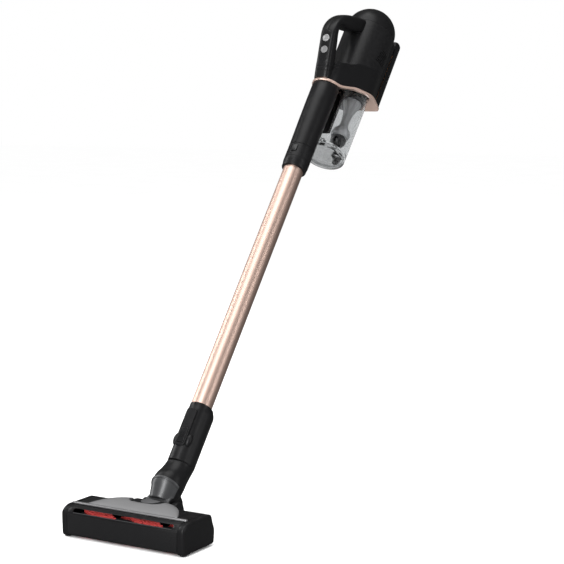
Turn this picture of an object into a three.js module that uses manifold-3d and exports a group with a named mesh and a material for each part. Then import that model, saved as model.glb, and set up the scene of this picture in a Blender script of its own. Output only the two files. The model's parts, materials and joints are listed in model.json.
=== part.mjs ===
// Cordless stick vacuum: a handheld unit with a clear dust cup, a metal wand and a motorised floor head.
// Millimetres, +Z up. The origin is the middle of the hand grip, X runs across the floor head and +Y
// points behind it. The stick leans back over the rear of the head, in its in-use position.
//
// The stick's own frame has its origin at the neck pivot: z runs up the wand's axis, -y is the handle
// side and +y is the dust cup side. The floor head's own frame has z = 0 on the floor, y = 0 at the front
// and x = 0 in the middle.

import * as THREE from 'three';
import { mergeVertices } from 'three/addons/utils/BufferGeometryUtils.js';
import Module from 'manifold-3d';

const wasm = await Module();
wasm.setup();

// ---------------------------------------------------------------- driving dimensions

const GAP = 0.3;                 // clearance between neighbouring pieces
const TURN_GAP = 0.6;            // clearance round a flat-sided pin or sleeve that turns in its hole
const LEAN = 38.35;              // degrees that the stick leans back from upright

// Floor head
const HEAD_WIDTH = 260;
const HEAD_DEPTH = 97;
const HEAD_HEIGHT = 56;
const HEAD_WALL = 2.6;
const SOLE_Z = 4.5;              // underside of the sole above the floor
const SOLE_THICKNESS = 3.5;
const CAP_WIDTH = 14;            // end caps, across the head
const SLOT_LOW = 45.5;
const SLOT_HIGH = 52.5;
const BUMPER_TOP = 43.5;
const BUMPER_THICKNESS = 2.5;
const BAR_INSET = 9;             // silver bar across the top, from each end of the head
const BAR_Y = 20;
const BAR_DEPTH = 7;
const BAR_HEIGHT = 3.4;
const DOME_WIDTH = 190;          // silver-grey cover behind the bar
const DOME_FRONT = 30;
const DOME_BACK = 88;
const DOME_HEIGHT = 8.5;
const PIVOT_Y = 121.3;           // neck pivot
const PIVOT_Z = 41;
const BASE_RIM = 3;              // how far the sole plate's edges turn up
const ROLLER_WALL = 57.5;        // front face of the wall behind the roller
const BASE_WALL = 2;
const LIP_THICKNESS = 3;         // soft lip under that wall
const LIP_LENGTH = 210;
const SCREW_X = 28;
const SCREW_Y = 76;
const SCREW_TOP = 18;
const SCREW_RADIUS = 1.5;
const SCREW_HEAD = 3.2;
const SCREW_HEAD_HEIGHT = 1.6;
const POST_RADIUS = 4;           // posts that the screws pull together

// Brush roller and its drive
const ROLLER_Y = 31;
const ROLLER_Z = 24.5;
const CORE_RADIUS = 15;
const CORE_ROOM = 10;            // from each end of the core to the end cap
const CORE_LENGTH = HEAD_WIDTH - 2 * (CAP_WIDTH + CORE_ROOM);
const BRISTLE_RADIUS = 23.7;
const BRISTLE_ANGLE = 110;       // degrees of the roller that one strip covers
const BRISTLE_START = 45;        // where the first strip begins round the roller
const ROLLER_SHAFT = 4;
const BEARING_RADIUS = 8;
const BEARING_WIDTH = 5;
const ROLLER_PULLEY = 10;
const DRIVE_PULLEY = 5;
const PULLEY_WIDTH = 5;
const BELT_THICKNESS = 1.2;
const DRIVE_Y = 74;
const DRIVE_Z = 28;
const DRIVE_RADIUS = 14;
const DRIVE_LENGTH = 62;
const DRIVE_SHAFT = 1.6;
const STRIP_INSET = 3;           // how far a bristle strip stops short of the core's ends

// Wheels
const WHEEL_RADIUS = 14;
const WHEEL_WIDTH = 10;
const WHEEL_Y = 136;
const WHEEL_PIN = 3;
const GLIDE_RADIUS = 6.8;        // small rollers in the sole
const GLIDE_WIDTH = 9;
const GLIDE_X = 95;
const GLIDE_Y = 80;
const GLIDE_PIN = 1.6;
const TYRE_EDGE = 1.2;

// Neck
const ELBOW_BARREL = 22.5;       // round part that turns in the cradle
const ELBOW_HALF = 25;           // half its width
const KNUCKLE_RADIUS = 22;       // fuller round part behind it
const KNUCKLE_Y = 8;
const KNUCKLE_Z = 10;
const NECK_SWING = 36;           // how far from the pivot the head keeps clear of the neck
const EAR_RADIUS = 15;
const EAR_WIDTH = 12;
const EAR_GAP = 1;               // clearance between the neck and each ear
const PIVOT_PIN = 6;
const ELBOW_TOP = 88;            // swivel plane up the stick
const ELBOW_DUCT = 16;
const FRONT_TOP = 47;            // top of the neck's front cover
const FRONT_SKIN = 2;
const FRONT_SPREAD = 64;         // degrees that the front cover reaches round each side
const COLLAR_RADIUS = 21;
const COLLAR_WALL = 3;
const COLLAR_REACH = 14;         // how far the swivel sleeve enters each side

// Wand and its lower connector
const WAND_RADIUS = 20;
const WAND_WALL = 1.6;
const WAND_BOTTOM = 152;
const WAND_TOP = 762;
const CONNECTOR_TOP = 204;
const CONNECTOR_Y = 8;           // the connector's back is fuller than its front
const CONNECTOR_RADIUS = 25.2;
const CONNECTOR_FRONT = 21.8;    // radius of its front, about the wand's axis
const PAD_HALF = 11;             // raised pad round the connector's release button
const PAD_PROUD = 1.8;
const PAD_LOW = 26;              // pad's lower edge above the swivel plane
const PAD_HIGH = 14;             // and its upper edge below the connector's top
const HEAD_KEY_HALF = 8;         // half the width of the connector's release button
const HEAD_KEY_LOW = 32;         // its lower edge above the swivel plane
const HEAD_KEY_HIGH = 3;         // and its upper edge below the wand's end
const SWIVEL_Y = 4;              // axis that the neck turns about

// Handheld: barrel and dust cup
const BARREL_BOTTOM = 738;
const BARREL_RADIUS_LOW = 25;
const BARREL_RADIUS_HIGH = 27.6;
const BARREL_BORE = 21;
const COLLAR_TOP = 788;
const WAND_KEY_HALF = 7;         // half the width of the wand's release button
const WAND_KEY_LOW = 29;         // its edges above the barrel's end
const WAND_KEY_HIGH = 45;
const CUP_Y = 79;                // dust cup and motor axis
const CUP_RADIUS_LOW = 45;
const CUP_RADIUS_HIGH = 47;
const CUP_WALL = 2.2;
const CUP_BOTTOM = 836;
const CUP_TOP = 1012;
const FLAP_THICKNESS = 7;
const HINGE_Y = 30;
const HINGE_RADIUS = 2.8;
const HINGE_PIN = 1.2;
const HINGE_HALF = 15;           // half the hinge's length
const KNUCKLE_HALF = 10;         // half the length of the flap's part of it
const LIP_WIDTH = 2;             // lip of the flap inside the cup
const LIP_CLEARANCE = 0.6;
const FLAP_KEY_UP = 18;          // flap's release button above the cup's end
const KEY_STEM = 3;              // radius of a button's stem
const DUCT_BOTTOM = 868;         // inlet duct inside the cup
const DUCT_TOP = 971;
const DUCT_HALF = 17;
const DUCT_WALL = 3;

// Handheld: body, motor and handle
const TRIM_THICKNESS = 5;
const TRIM_PROUD = 1.6;
const BODY_WALL = 3;
const BODY_FRONT_RADIUS = 28;
const MOTOR_RADIUS = 54;
const BODY_BACK = CUP_Y + MOTOR_RADIUS + 0.2; // back face of the body, where the battery sits
const BODY_BACK_HALF = 38;
const MOTOR_WALL = 2.3;
const DOME_START = 1153;         // where the motor housing's round top begins
const HANDLE_WIDTH = 34;
const HANDLE_ROUND = 7;
const PANEL_WIDTH = 18;
const PANEL_THICKNESS = 2.4;
const BUTTON_RADIUS = 7.5;
const BUTTON_PROUD = 1.2;
const BUTTON_TRAVEL = 1;
const BUTTON_HEIGHTS = [43, 67.5]; // middles of the two buttons up the grip
const PANEL_LOW = 20;            // lower edge of the control panel up the grip
const PANEL_OVER = 4;            // how far the panel runs past the grip's head
const LOUVRES = 4;
const LOUVRE_LOW = 1066;
const LOUVRE_PITCH = 6;
const LOUVRE_HEIGHT = 2.2;
const GRIP_DEPTH = 14;           // middle of the grip behind its front face
const GRIP_HEIGHT = 56;          // and up from its foot

// Motor and fan
const CAN_RADIUS = 30;
const CAN_BOTTOM = 1060;
const CAN_TOP = 1112;
const MOTOR_SHAFT = 3;
const MOUNT_Z = 1092;
const MOUNT_THICKNESS = 4;
const FAN_Z = 1044;              // middle height of the fan's blades
const FAN_RADIUS = 36;
const FAN_BLADES = 9;
const EXHAUST_LOW = 1120;
const EXHAUST_HIGH = 1144;
const PRE_FILTER_INSET = 7;      // pre-filter's rim inside the cup's outside

// Battery
const BATTERY_DEPTH = 22.8;
const BATTERY_BACK = BODY_BACK + BATTERY_DEPTH;
const BATTERY_BOTTOM = 1015;
const BATTERY_TOP = 1177;
const BATTERY_HALF = 38;
const BATTERY_WALL = 2;
const LATCH_LOW = 1152.5;
const LATCH_HIGH = 1163;
const LATCH_HALF = 12;
const DOCK_HALF = 36;
const CELL_RADIUS = 9;
const CELL_LENGTH = 65;

// Number of flats round a curved piece
const FINE = 24;                 // large covers and tubes
const PLAIN = 16;                // middling pieces
const COARSE = 10;               // pins, buttons and screws

// Outlines, as [y, z] points in the stick's frame
const TRIM_LINE = [[-45, 945], [-28, 946.5], [0, 951], [20, 962], [38, 973.5], [60, 981.5],
  [84, 991], [112, 1001], [165, 1011]];
const BODY_TOP_LINE = [[-80, 976], [-34, 979], [-20, 996], [10, 1013], [31, 1031], [74, 1048], [140, 1070]];
const GRIP_FOOT = [-38, 962];    // straight front of the grip, from its foot...
const GRIP_HEAD = [-66, 1037];   // ...to its head
const HANDLE_TOP_LINE = [[-66.5, 1052], [-62, 1068], [-54, 1086], [-44, 1103], [-20, 1121], [60, 1170]];
const HANDLE_GAP = [[-28, 1009], [-35, 1023], [-42.5, 1040], [-48, 1054], [-48.5, 1064], [-41, 1072],
  [-20, 1083], [10, 1102], [44, 1116]];
const GAP_BACK = [[44, 1019], [10, 1006]];

// ---------------------------------------------------------------- finishes

const finish = (color, roughness, metalness = 0) => ({ color, roughness, metalness });
const BLACK_SATIN = finish(0x17171a, 0.42);
const BLACK_MATT = finish(0x141416, 0.65);
const BLACK_GLOSS = finish(0x1b1b1e, 0.22);
const DARK_GREY = finish(0x3b3d40, 0.35);
const SILVER_GREY = finish(0xa3a5a6, 0.3, 0.6);
const ROSE_GOLD = finish(0xd9a48c, 0.3, 0.9);
const CLEAR_SMOKE = finish(0xb9bcbd, 0.08);
const RED_BRISTLE = finish(0xc23a3c, 0.85);
const RUBBER = finish(0x202022, 0.85);
const STEEL = finish(0xb8bcc0, 0.3, 1);
const FILTER_WHITE = finish(0xdadad4, 0.9);
const BOARD_GREEN = finish(0x23583a, 0.6);
const COPPER = finish(0xb06a3c, 0.4, 0.9);

// ---------------------------------------------------------------- shape helpers

const radians = THREE.MathUtils.degToRad;
const vectors = (points) => points.map(([x, y]) => new THREE.Vector2(x, y));

/** A closed three.js mesh as a solid with its faces pointing out. */
function solidOf(geometry) {
  const bare = geometry.clone();
  bare.deleteAttribute('normal');
  bare.deleteAttribute('uv');
  const welded = mergeVertices(bare, 1e-4);
  const place = welded.getAttribute('position').array;
  const index = welded.index.array;
  const faces = [];
  let volume = 0;
  for (let i = 0; i < index.length; i += 3) {
    const [a, b, c] = [index[i], index[i + 1], index[i + 2]];
    if (a === b || b === c || c === a) continue;
    faces.push(a, b, c);
    const corner = (n) => new THREE.Vector3().fromArray(place, 3 * n);
    volume += corner(a).dot(corner(b).cross(corner(c)));
  }
  if (volume < 0) faces.reverse();
  return new wasm.Manifold(new wasm.Mesh({
    numProp: 3,
    vertProperties: Float32Array.from(place),
    triVerts: Uint32Array.from(faces),
  }));
}

/** A solid back as three.js geometry. */
function geometryOf(solid) {
  const mesh = solid.getMesh();
  const geometry = new THREE.BufferGeometry();
  const places = new Float32Array(mesh.numVert * 3);
  for (let i = 0; i < mesh.numVert; i += 1) {
    for (let k = 0; k < 3; k += 1) {
      places[3 * i + k] = mesh.vertProperties[mesh.numProp * i + k];
    }
  }
  geometry.setAttribute('position', new THREE.BufferAttribute(places, 3));
  geometry.setIndex(new THREE.BufferAttribute(Uint32Array.from(mesh.triVerts), 1));
  geometry.computeVertexNormals();
  return geometry;
}

const join = (...solids) => solids.reduce((sum, solid) => sum.add(solid));
const cut = (base, ...tools) => tools.reduce((rest, tool) => rest.subtract(tool), base);
const common = (...solids) => solids.reduce((sum, solid) => sum.intersect(solid));

/** [radius, height] profile turned about Z, moved to x, y. */
function turned(profile, { x = 0, y = 0, sides = PLAIN } = {}) {
  const geometry = new THREE.LatheGeometry(vectors(profile), sides);
  geometry.rotateX(Math.PI / 2);
  geometry.translate(x, y, 0);
  return solidOf(geometry);
}

/** [radius, x] profile turned about an axis along X at y, z. */
function turnedX(profile, y, z, sides = PLAIN) {
  const geometry = new THREE.LatheGeometry(vectors(profile), sides);
  geometry.rotateZ(-Math.PI / 2);
  geometry.translate(0, y, z);
  return solidOf(geometry);
}

const rodProfile = (radius, low, high) => [[0, low], [radius, low], [radius, high], [0, high]];
const rod = (radius, low, high, place) => turned(rodProfile(radius, low, high), place);
const rodX = (radius, low, high, y, z, sides) => turnedX(rodProfile(radius, low, high), y, z, sides);

/** Two distances from the middle, on one side of it, as the lower and the higher. */
const sided = (side, near, far) => (side > 0 ? [near, far] : [-far, -near]);

/** A straight tube about Z. */
function ring(outer, inner, low, high, place) {
  return turned([[inner, low], [outer, low], [outer, high], [inner, high], [inner, low]], place);
}

/** A box given by its lowest and highest corners. */
function block(low, high) {
  const size = high.map((value, i) => value - low[i]);
  const geometry = new THREE.BoxGeometry(...size);
  geometry.translate(...low.map((value, i) => value + size[i] / 2));
  return solidOf(geometry);
}

/** Extrude settings with edges rounded by a given radius, inside the outline. */
function extrusion(depth, round, steps = 3) {
  if (!round) return { depth, bevelEnabled: false };
  return {
    depth: depth - 2 * round,
    bevelEnabled: true,
    bevelThickness: round,
    bevelSize: round,
    bevelOffset: -round,
    bevelSegments: steps,
  };
}

const ALONG_X = [[0, 1, 0], [0, 0, 1], [1, 0, 0]];
const ALONG_Y = [[1, 0, 0], [0, 0, 1], [0, -1, 0]];

/** Stands an extrusion up so that its outline and its depth lie on the given axes. */
function stoodUp(geometry, axes) {
  const basis = axes.map((axis) => new THREE.Vector3(...axis));
  return geometry.applyMatrix4(new THREE.Matrix4().makeBasis(...basis));
}

/** An outline of [y, z] points carried along X from low to high. */
function alongX(points, low, high, round = 0) {
  const geometry = new THREE.ExtrudeGeometry(new THREE.Shape(vectors(points)), extrusion(high - low, round));
  stoodUp(geometry, ALONG_X).translate(low + round, 0, 0);
  return solidOf(geometry);
}

/** A cutting tool along X whose ends flare out, so that the hole it leaves has round edges. */
function flaredX(points, low, high, round) {
  const settings = { ...extrusion(high - low, round), bevelSize: -round, bevelOffset: round };
  const geometry = new THREE.ExtrudeGeometry(new THREE.Shape(vectors(points)), settings);
  stoodUp(geometry, ALONG_X).translate(low + round, 0, 0);
  return solidOf(geometry);
}

/** An outline of [x, z] points carried along Y from low to high. */
function alongY(points, low, high, round = 0) {
  const geometry = new THREE.ExtrudeGeometry(new THREE.Shape(vectors(points)), extrusion(high - low, round));
  stoodUp(geometry, ALONG_Y).translate(0, high - round, 0);
  return solidOf(geometry);
}

/** An outline of [x, y] points carried along Z from low to high. */
function alongZ(points, low, high, round = 0) {
  const geometry = new THREE.ExtrudeGeometry(new THREE.Shape(vectors(points)), extrusion(high - low, round));
  geometry.translate(0, 0, low + round);
  return solidOf(geometry);
}

/** Smooth line of count points through a few chosen ones. */
function smooth(points, count) {
  return new THREE.SplineCurve(vectors(points)).getPoints(count).map((p) => [p.x, p.y]);
}

/** Outline of a rectangle with round corners, between two opposite corners. */
function roundRect([x0, y0], [x1, y1], radius, steps = 4) {
  const outline = [];
  const centres = [[x1 - radius, y1 - radius], [x0 + radius, y1 - radius],
    [x0 + radius, y0 + radius], [x1 - radius, y0 + radius]];
  centres.forEach(([x, y], quarter) => {
    for (let i = 0; i <= steps; i += 1) {
      const angle = (quarter + i / steps) * Math.PI / 2;
      outline.push([x + radius * Math.cos(angle), y + radius * Math.sin(angle)]);
    }
  });
  return outline;
}

/** Outline that a string pulled round some circles [x, y, radius] would take. */
function around(circles, steps = FINE) {
  const cloud = [];
  for (const [x, y, radius] of circles) {
    for (let i = 0; i < steps; i += 1) {
      const angle = 2 * Math.PI * i / steps;
      cloud.push([x + radius * Math.cos(angle), y + radius * Math.sin(angle)]);
    }
  }
  cloud.sort((a, b) => a[0] - b[0] || a[1] - b[1]);
  const turn = (a, b, c) => (b[0] - a[0]) * (c[1] - a[1]) - (b[1] - a[1]) * (c[0] - a[0]);
  const half = (points) => {
    const chain = [];
    for (const point of points) {
      while (chain.length > 1 && turn(chain.at(-2), chain.at(-1), point) <= 1e-6) chain.pop();
      chain.push(point);
    }
    return chain.slice(0, -1);
  };
  return [...half(cloud), ...half([...cloud].reverse())];
}

/** Turns a solid built upright at the origin to the grip's slope and moves it to the grip's foot. */
function onGrip(geometry) {
  geometry.rotateX(GRIP_SLOPE);
  geometry.translate(0, ...GRIP_FOOT);
  return solidOf(geometry);
}

const GRIP_SLOPE = Math.atan2(GRIP_FOOT[0] - GRIP_HEAD[0], GRIP_HEAD[1] - GRIP_FOOT[1]);
const GRIP_LENGTH = Math.hypot(GRIP_HEAD[0] - GRIP_FOOT[0], GRIP_HEAD[1] - GRIP_FOOT[1]);

/** Box in the grip's frame: x across, y into the handle, z up the grip's front. */
function gripBlock(low, high) {
  const size = high.map((value, i) => value - low[i]);
  const geometry = new THREE.BoxGeometry(...size);
  geometry.translate(...low.map((value, i) => value + size[i] / 2));
  return onGrip(geometry);
}

/** Round profile [radius, depth into the grip] at a height up the grip. */
function gripTurned(profile, height, sides = COARSE) {
  const geometry = new THREE.LatheGeometry(vectors(profile), sides);
  geometry.translate(0, 0, height);
  return onGrip(geometry);
}

const vacuum = new THREE.Group();
const stick = new THREE.Group();
const head = new THREE.Group();
vacuum.add(stick, head);

/** Adds one named piece to a group. */
function piece(group, name, solid, look) {
  const mesh = new THREE.Mesh(geometryOf(solid), new THREE.MeshStandardMaterial(look));
  mesh.name = name;
  group.add(mesh);
}

// ---------------------------------------------------------------- floor head

const SOLE_TOP = SOLE_Z + SOLE_THICKNESS;
const INNER_HALF = HEAD_WIDTH / 2 - CAP_WIDTH - GAP;

/** Head outline in y, z: upright front, round front top, flat top and sloping back. */
function headOutline(inset = 0) {
  const front = inset;
  const back = HEAD_DEPTH - inset;
  const top = HEAD_HEIGHT - inset;
  const nose = smooth([[front + 0.6, BUMPER_TOP], [front + 2.5, top - 8], [front + 9, top - 3.3],
    [front + 19, top]], 6);
  return [[front + 1.5, SOLE_Z + BASE_RIM], [front + 0.4, 14], ...nose, [back - 16, top], [back - 9, top - 3],
    [back - 1, 30], [back - 1.5, 12], [back - 4, SOLE_Z + BASE_RIM]];
}

/** Round space that the neck swings through, for a given half width. */
const swingSpace = (radius, half) => join(
  rodX(radius, -half, half, PIVOT_Y, PIVOT_Z, FINE),
  block([-half, PIVOT_Y - radius, -20], [half, PIVOT_Y + 60, PIVOT_Z]),
  block([-half, PIVOT_Y, -20], [half, PIVOT_Y + 60, 90]),
);

const EAR_HALF = ELBOW_HALF + EAR_GAP + EAR_WIDTH;

function headCover() {
  const outer = alongX(headOutline(), -INNER_HALF, INNER_HALF);
  const inner = alongX(headOutline(HEAD_WALL), -INNER_HALF - 1, INNER_HALF + 1);
  const reach = HEAD_WIDTH / 2 + 10;
  const low = block([-reach, -5, -5], [reach, 18, BUMPER_TOP + GAP]);
  const sole = block([-reach, -5, -5], [reach, HEAD_DEPTH + 33, SOLE_TOP + 4]);
  const window = block([-CORE_LENGTH / 2, -5, SLOT_LOW], [CORE_LENGTH / 2, 16, SLOT_HIGH]);
  let cover = cut(outer, inner, low, sole, window, swingSpace(EAR_RADIUS + 1.5, EAR_HALF + 1));
  cover = cut(cover, swingSpace(ELBOW_BARREL + 1.6, ELBOW_HALF + 1));
  for (const side of [-1, 1]) {
    const at = { x: side * SCREW_X, y: SCREW_Y, sides: COARSE };
    const post = ring(POST_RADIUS, SCREW_RADIUS + GAP, SOLE_TOP + GAP, SCREW_TOP + 2, at);
    cover = join(cover, post, rod(POST_RADIUS, SCREW_TOP + 1.5, HEAD_HEIGHT - 1, at));
  }
  return cover;
}

function headBase() {
  const half = INNER_HALF;
  const wallX = -half + 3 * PULLEY_WIDTH;
  const frontY = BUMPER_THICKNESS + GAP + 0.7;
  const plate = block([-half, frontY, SOLE_Z], [half, HEAD_DEPTH - 3, SOLE_TOP]);
  const front = block([-half, frontY, SOLE_Z], [half, frontY + 2.7, BUMPER_TOP - 1]);
  const wallTop = HEAD_HEIGHT - HEAD_WALL - GAP;
  const wall = block([wallX, ROLLER_WALL, SOLE_TOP - 0.5], [half, ROLLER_WALL + BASE_WALL, wallTop]);
  const mouth = block([-half + 3, 8.5, 0], [half - 3, ROLLER_Y + BRISTLE_RADIUS, 10]);
  let base = cut(join(plate, front, wall), mouth);
  for (const side of [-1, 1]) {
    const x = side * GLIDE_X;
    const reach = GLIDE_WIDTH / 2 + 4 * GAP;
    base = cut(base, block([x - reach, GLIDE_Y - 9, 0], [x + reach, GLIDE_Y + 9, 20]));
    const pin = rodX(GLIDE_PIN, x - reach - 1, x + reach + 1, GLIDE_Y, GLIDE_RADIUS + 0.2, COARSE);
    base = join(base, pin);
    const at = { x: side * SCREW_X, y: SCREW_Y, sides: COARSE };
    base = cut(base, rod(SCREW_HEAD + GAP, 0, SOLE_Z + 2, at), rod(SCREW_RADIUS + GAP, 0, 20, at));
  }
  return base;
}

function endCap(side) {
  const inner = HEAD_WIDTH / 2 - CAP_WIDTH;
  const outer = HEAD_WIDTH / 2;
  const outline = headOutline();
  outline[0] = [1.6, SOLE_Z - 2];
  outline[outline.length - 1] = [HEAD_DEPTH - 5, SOLE_Z - 2];
  const rounded = alongX(outline, inner - 20, outer, 5);
  const half = cut(rounded, block([inner - 40, -10, -10], [inner, 130, 80]));
  const cap = cut(half, rodX(BEARING_RADIUS + GAP, inner - 1, inner + BEARING_WIDTH + 1, ROLLER_Y, ROLLER_Z));
  return side > 0 ? cap : cap.mirror([1, 0, 0]);
}

/** Cover that narrows to the back in a round sweep, with a top that rises towards the neck. */
function domeCover() {
  const half = DOME_WIDTH / 2;
  const side = smooth([[half, DOME_FRONT + 3], [half - 7, DOME_FRONT + 17], [half - 21, DOME_BACK - 20],
    [half - 38, DOME_BACK - 6], [half - 56, DOME_BACK]], 10);
  const mirrored = side.map(([x, y]) => [-x, y]).reverse();
  const outline = [[3 - half, DOME_FRONT], [half - 3, DOME_FRONT], ...side, [0, DOME_BACK], ...mirrored];
  const walls = alongZ(outline, HEAD_HEIGHT + GAP, HEAD_HEIGHT + 30);
  const top = HEAD_HEIGHT + DOME_HEIGHT;
  const ridge = smooth([[DOME_FRONT - 4, HEAD_HEIGHT + 1.6], [DOME_FRONT + 14, top - 2],
    [DOME_BACK - 20, top], [DOME_BACK, top - 4.5], [DOME_BACK + 5, HEAD_HEIGHT]], 9);
  const crown = alongX([[DOME_FRONT - 4, 0], ...ridge, [DOME_BACK + 5, 0]], -half - 1, half + 1);
  return cut(common(walls, crown), swingSpace(NECK_SWING, NECK_SWING));
}

/** A band of bristles that winds once round the core, built as rows of points joined along X. */
function sweptStrip(start) {
  const steps = 18;
  const half = radians(BRISTLE_ANGLE / 2);
  const inner = CORE_RADIUS + 2 * GAP;
  const across = 5;
  const places = [];
  const faces = [];
  const column = 2 * (across + 1);
  for (let i = 0; i <= steps; i += 1) {
    const x = (CORE_LENGTH - 2 * STRIP_INSET) * (i / steps - 0.5);
    const middle = start + 2 * Math.PI * i / steps;
    for (let k = 0; k <= across; k += 1) {
      const angle = middle + half * (2 * k / across - 1);
      places.push(x, ROLLER_Y + inner * Math.cos(angle), ROLLER_Z + inner * Math.sin(angle));
    }
    for (let k = across; k >= 0; k -= 1) {
      const edge = Math.abs(2 * k / across - 1);
      const angle = middle + half * 0.8 * (2 * k / across - 1);
      const outer = BRISTLE_RADIUS - 2.5 * edge ** 3;
      places.push(x, ROLLER_Y + outer * Math.cos(angle), ROLLER_Z + outer * Math.sin(angle));
    }
  }
  for (let i = 0; i < steps; i += 1) {
    for (let k = 0; k < column; k += 1) {
      const next = (k + 1) % column;
      const [a, b] = [i * column + k, i * column + next];
      faces.push(a, b, a + column, b, b + column, a + column);
    }
  }
  const ends = [0, steps * column];
  ends.forEach((first, end) => {
    for (let k = 0; k < across; k += 1) {
      const corners = [first + k, first + k + 1, first + column - 2 - k, first + column - 1 - k];
      const [a, b, c, d] = end ? corners : [...corners].reverse();
      faces.push(a, b, c, a, c, d);
    }
  });
  const geometry = new THREE.BufferGeometry();
  geometry.setAttribute('position', new THREE.Float32BufferAttribute(places, 3));
  geometry.setIndex(faces);
  return solidOf(geometry);
}

function brushCore() {
  const half = CORE_LENGTH / 2;
  const pulley = half + 1.5;
  const end = HEAD_WIDTH / 2 - CAP_WIDTH + BEARING_WIDTH;
  return turnedX([[0, -end], [ROLLER_SHAFT, -end], [ROLLER_SHAFT, -pulley - PULLEY_WIDTH],
    [ROLLER_PULLEY, -pulley - PULLEY_WIDTH], [ROLLER_PULLEY, -pulley], [7, -pulley], [7, -half],
    [CORE_RADIUS, -half], [CORE_RADIUS, half], [ROLLER_SHAFT, half], [ROLLER_SHAFT, end], [0, end]],
  ROLLER_Y, ROLLER_Z);
}

const PULLEY_X = -(CORE_LENGTH / 2 + 1.5); // inner face of both pulleys

/** Belt round both pulleys: the string outline of two circles, less the same one inside. */
function driveBelt() {
  const circles = (extra) => [
    [ROLLER_Y, ROLLER_Z, ROLLER_PULLEY + extra],
    [DRIVE_Y, DRIVE_Z, DRIVE_PULLEY + extra],
  ];
  const low = PULLEY_X - PULLEY_WIDTH + 2 * GAP;
  const high = PULLEY_X - 2 * GAP;
  const loop = alongX(around(circles(GAP + BELT_THICKNESS), 28), low, high);
  return cut(loop, alongX(around(circles(GAP), 28), low - 1, high + 1));
}

function buildHead() {
  piece(head, 'head_base', headBase(), BLACK_MATT);
  piece(head, 'head_cover', headCover(), BLACK_SATIN);
  piece(head, 'end_cap_left', endCap(-1), BLACK_SATIN);
  piece(head, 'end_cap_right', endCap(1), BLACK_SATIN);
  const bumper = roundRect([0.4, SOLE_Z + 2.5], [0.4 + BUMPER_THICKNESS, BUMPER_TOP], 1);
  piece(head, 'front_bumper', alongX(bumper, -INNER_HALF, INNER_HALF), BLACK_GLOSS);
  const barLow = HEAD_HEIGHT + GAP;
  const bar = roundRect([BAR_Y, barLow], [BAR_Y + BAR_DEPTH, barLow + BAR_HEIGHT], 1.4);
  const barHalf = HEAD_WIDTH / 2 - BAR_INSET;
  piece(head, 'top_bar', alongX(bar, -barHalf, barHalf), SILVER_GREY);
  piece(head, 'dome_cover', domeCover(), SILVER_GREY);

  piece(head, 'brush_core', brushCore(), DARK_GREY);
  piece(head, 'bristle_strip_a', sweptStrip(radians(BRISTLE_START)), RED_BRISTLE);
  piece(head, 'bristle_strip_b', sweptStrip(radians(BRISTLE_START + 180)), RED_BRISTLE);
  const bearingLow = HEAD_WIDTH / 2 - CAP_WIDTH + GAP;
  for (const [side, label] of [[-1, 'left'], [1, 'right']]) {
    const [low, high] = sided(side, bearingLow, bearingLow + BEARING_WIDTH);
    const outer = rodX(BEARING_RADIUS, low, high, ROLLER_Y, ROLLER_Z, PLAIN);
    const hole = rodX(ROLLER_SHAFT + GAP, low - 1, high + 1, ROLLER_Y, ROLLER_Z, PLAIN);
    piece(head, `roller_bearing_${label}`, cut(outer, hole), STEEL);
  }
  const motorLow = PULLEY_X + 6;
  const shaftEnd = motorLow + 18;
  const can = rodX(DRIVE_RADIUS, motorLow, motorLow + DRIVE_LENGTH, DRIVE_Y, DRIVE_Z, PLAIN);
  const shaftHole = rodX(DRIVE_SHAFT + GAP, motorLow - 1, shaftEnd + 2, DRIVE_Y, DRIVE_Z, COARSE);
  piece(head, 'head_motor', cut(can, shaftHole), STEEL);
  const pulleyEnd = PULLEY_X - PULLEY_WIDTH;
  piece(head, 'drive_pulley', turnedX([[0, pulleyEnd], [DRIVE_PULLEY, pulleyEnd], [DRIVE_PULLEY, PULLEY_X],
    [DRIVE_SHAFT, PULLEY_X], [DRIVE_SHAFT, shaftEnd], [0, shaftEnd]], DRIVE_Y, DRIVE_Z, COARSE), STEEL);
  piece(head, 'drive_belt', driveBelt(), RUBBER);
  const lip = roundRect([ROLLER_WALL + 1, 1.2], [ROLLER_WALL + 1 + LIP_THICKNESS, SOLE_Z - GAP], 1);
  piece(head, 'sole_lip', alongX(lip, -LIP_LENGTH / 2, LIP_LENGTH / 2), RUBBER);
  buildCradle();
  buildWheels();
}

/** Rear extension that carries the neck between two ears, and the two wheel pins. */
function buildCradle() {
  const inner = ELBOW_HALF + EAR_GAP;
  const low = SOLE_TOP + GAP;
  const back = WHEEL_Y + 8;
  let cradle = block([-EAR_HALF, HEAD_DEPTH - 8, low], [EAR_HALF, back, low + HEAD_WALL]);
  for (const side of [-1, 1]) {
    const ear = sided(side, inner, EAR_HALF);
    const disc = rodX(EAR_RADIUS, ...ear, PIVOT_Y, PIVOT_Z, FINE);
    const leg = alongX([[PIVOT_Y - 20, low], [back, low], [back - 2, 24],
      [PIVOT_Y + EAR_RADIUS - 2, PIVOT_Z - 5], [PIVOT_Y - EAR_RADIUS + 2, PIVOT_Z - 8]], ...ear);
    const pin = rodX(PIVOT_PIN, ...sided(side, inner - 8, inner + 1), PIVOT_Y, PIVOT_Z, COARSE);
    const stubEnds = sided(side, EAR_HALF - 1, EAR_HALF + 1 + WHEEL_WIDTH);
    const stub = rodX(WHEEL_PIN, ...stubEnds, WHEEL_Y, WHEEL_RADIUS, COARSE);
    cradle = join(cradle, disc, leg, pin, stub);
  }
  piece(head, 'neck_cradle', cradle, BLACK_SATIN);
}

function wheel(radius, width, bore, x, y, z) {
  const low = x - width / 2;
  const high = x + width / 2;
  const side = radius - TYRE_EDGE;
  return turnedX([[bore, low], [side, low], [radius, low + TYRE_EDGE], [radius, high - TYRE_EDGE],
    [side, high], [bore, high], [bore, low]], y, z, PLAIN);
}

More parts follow.
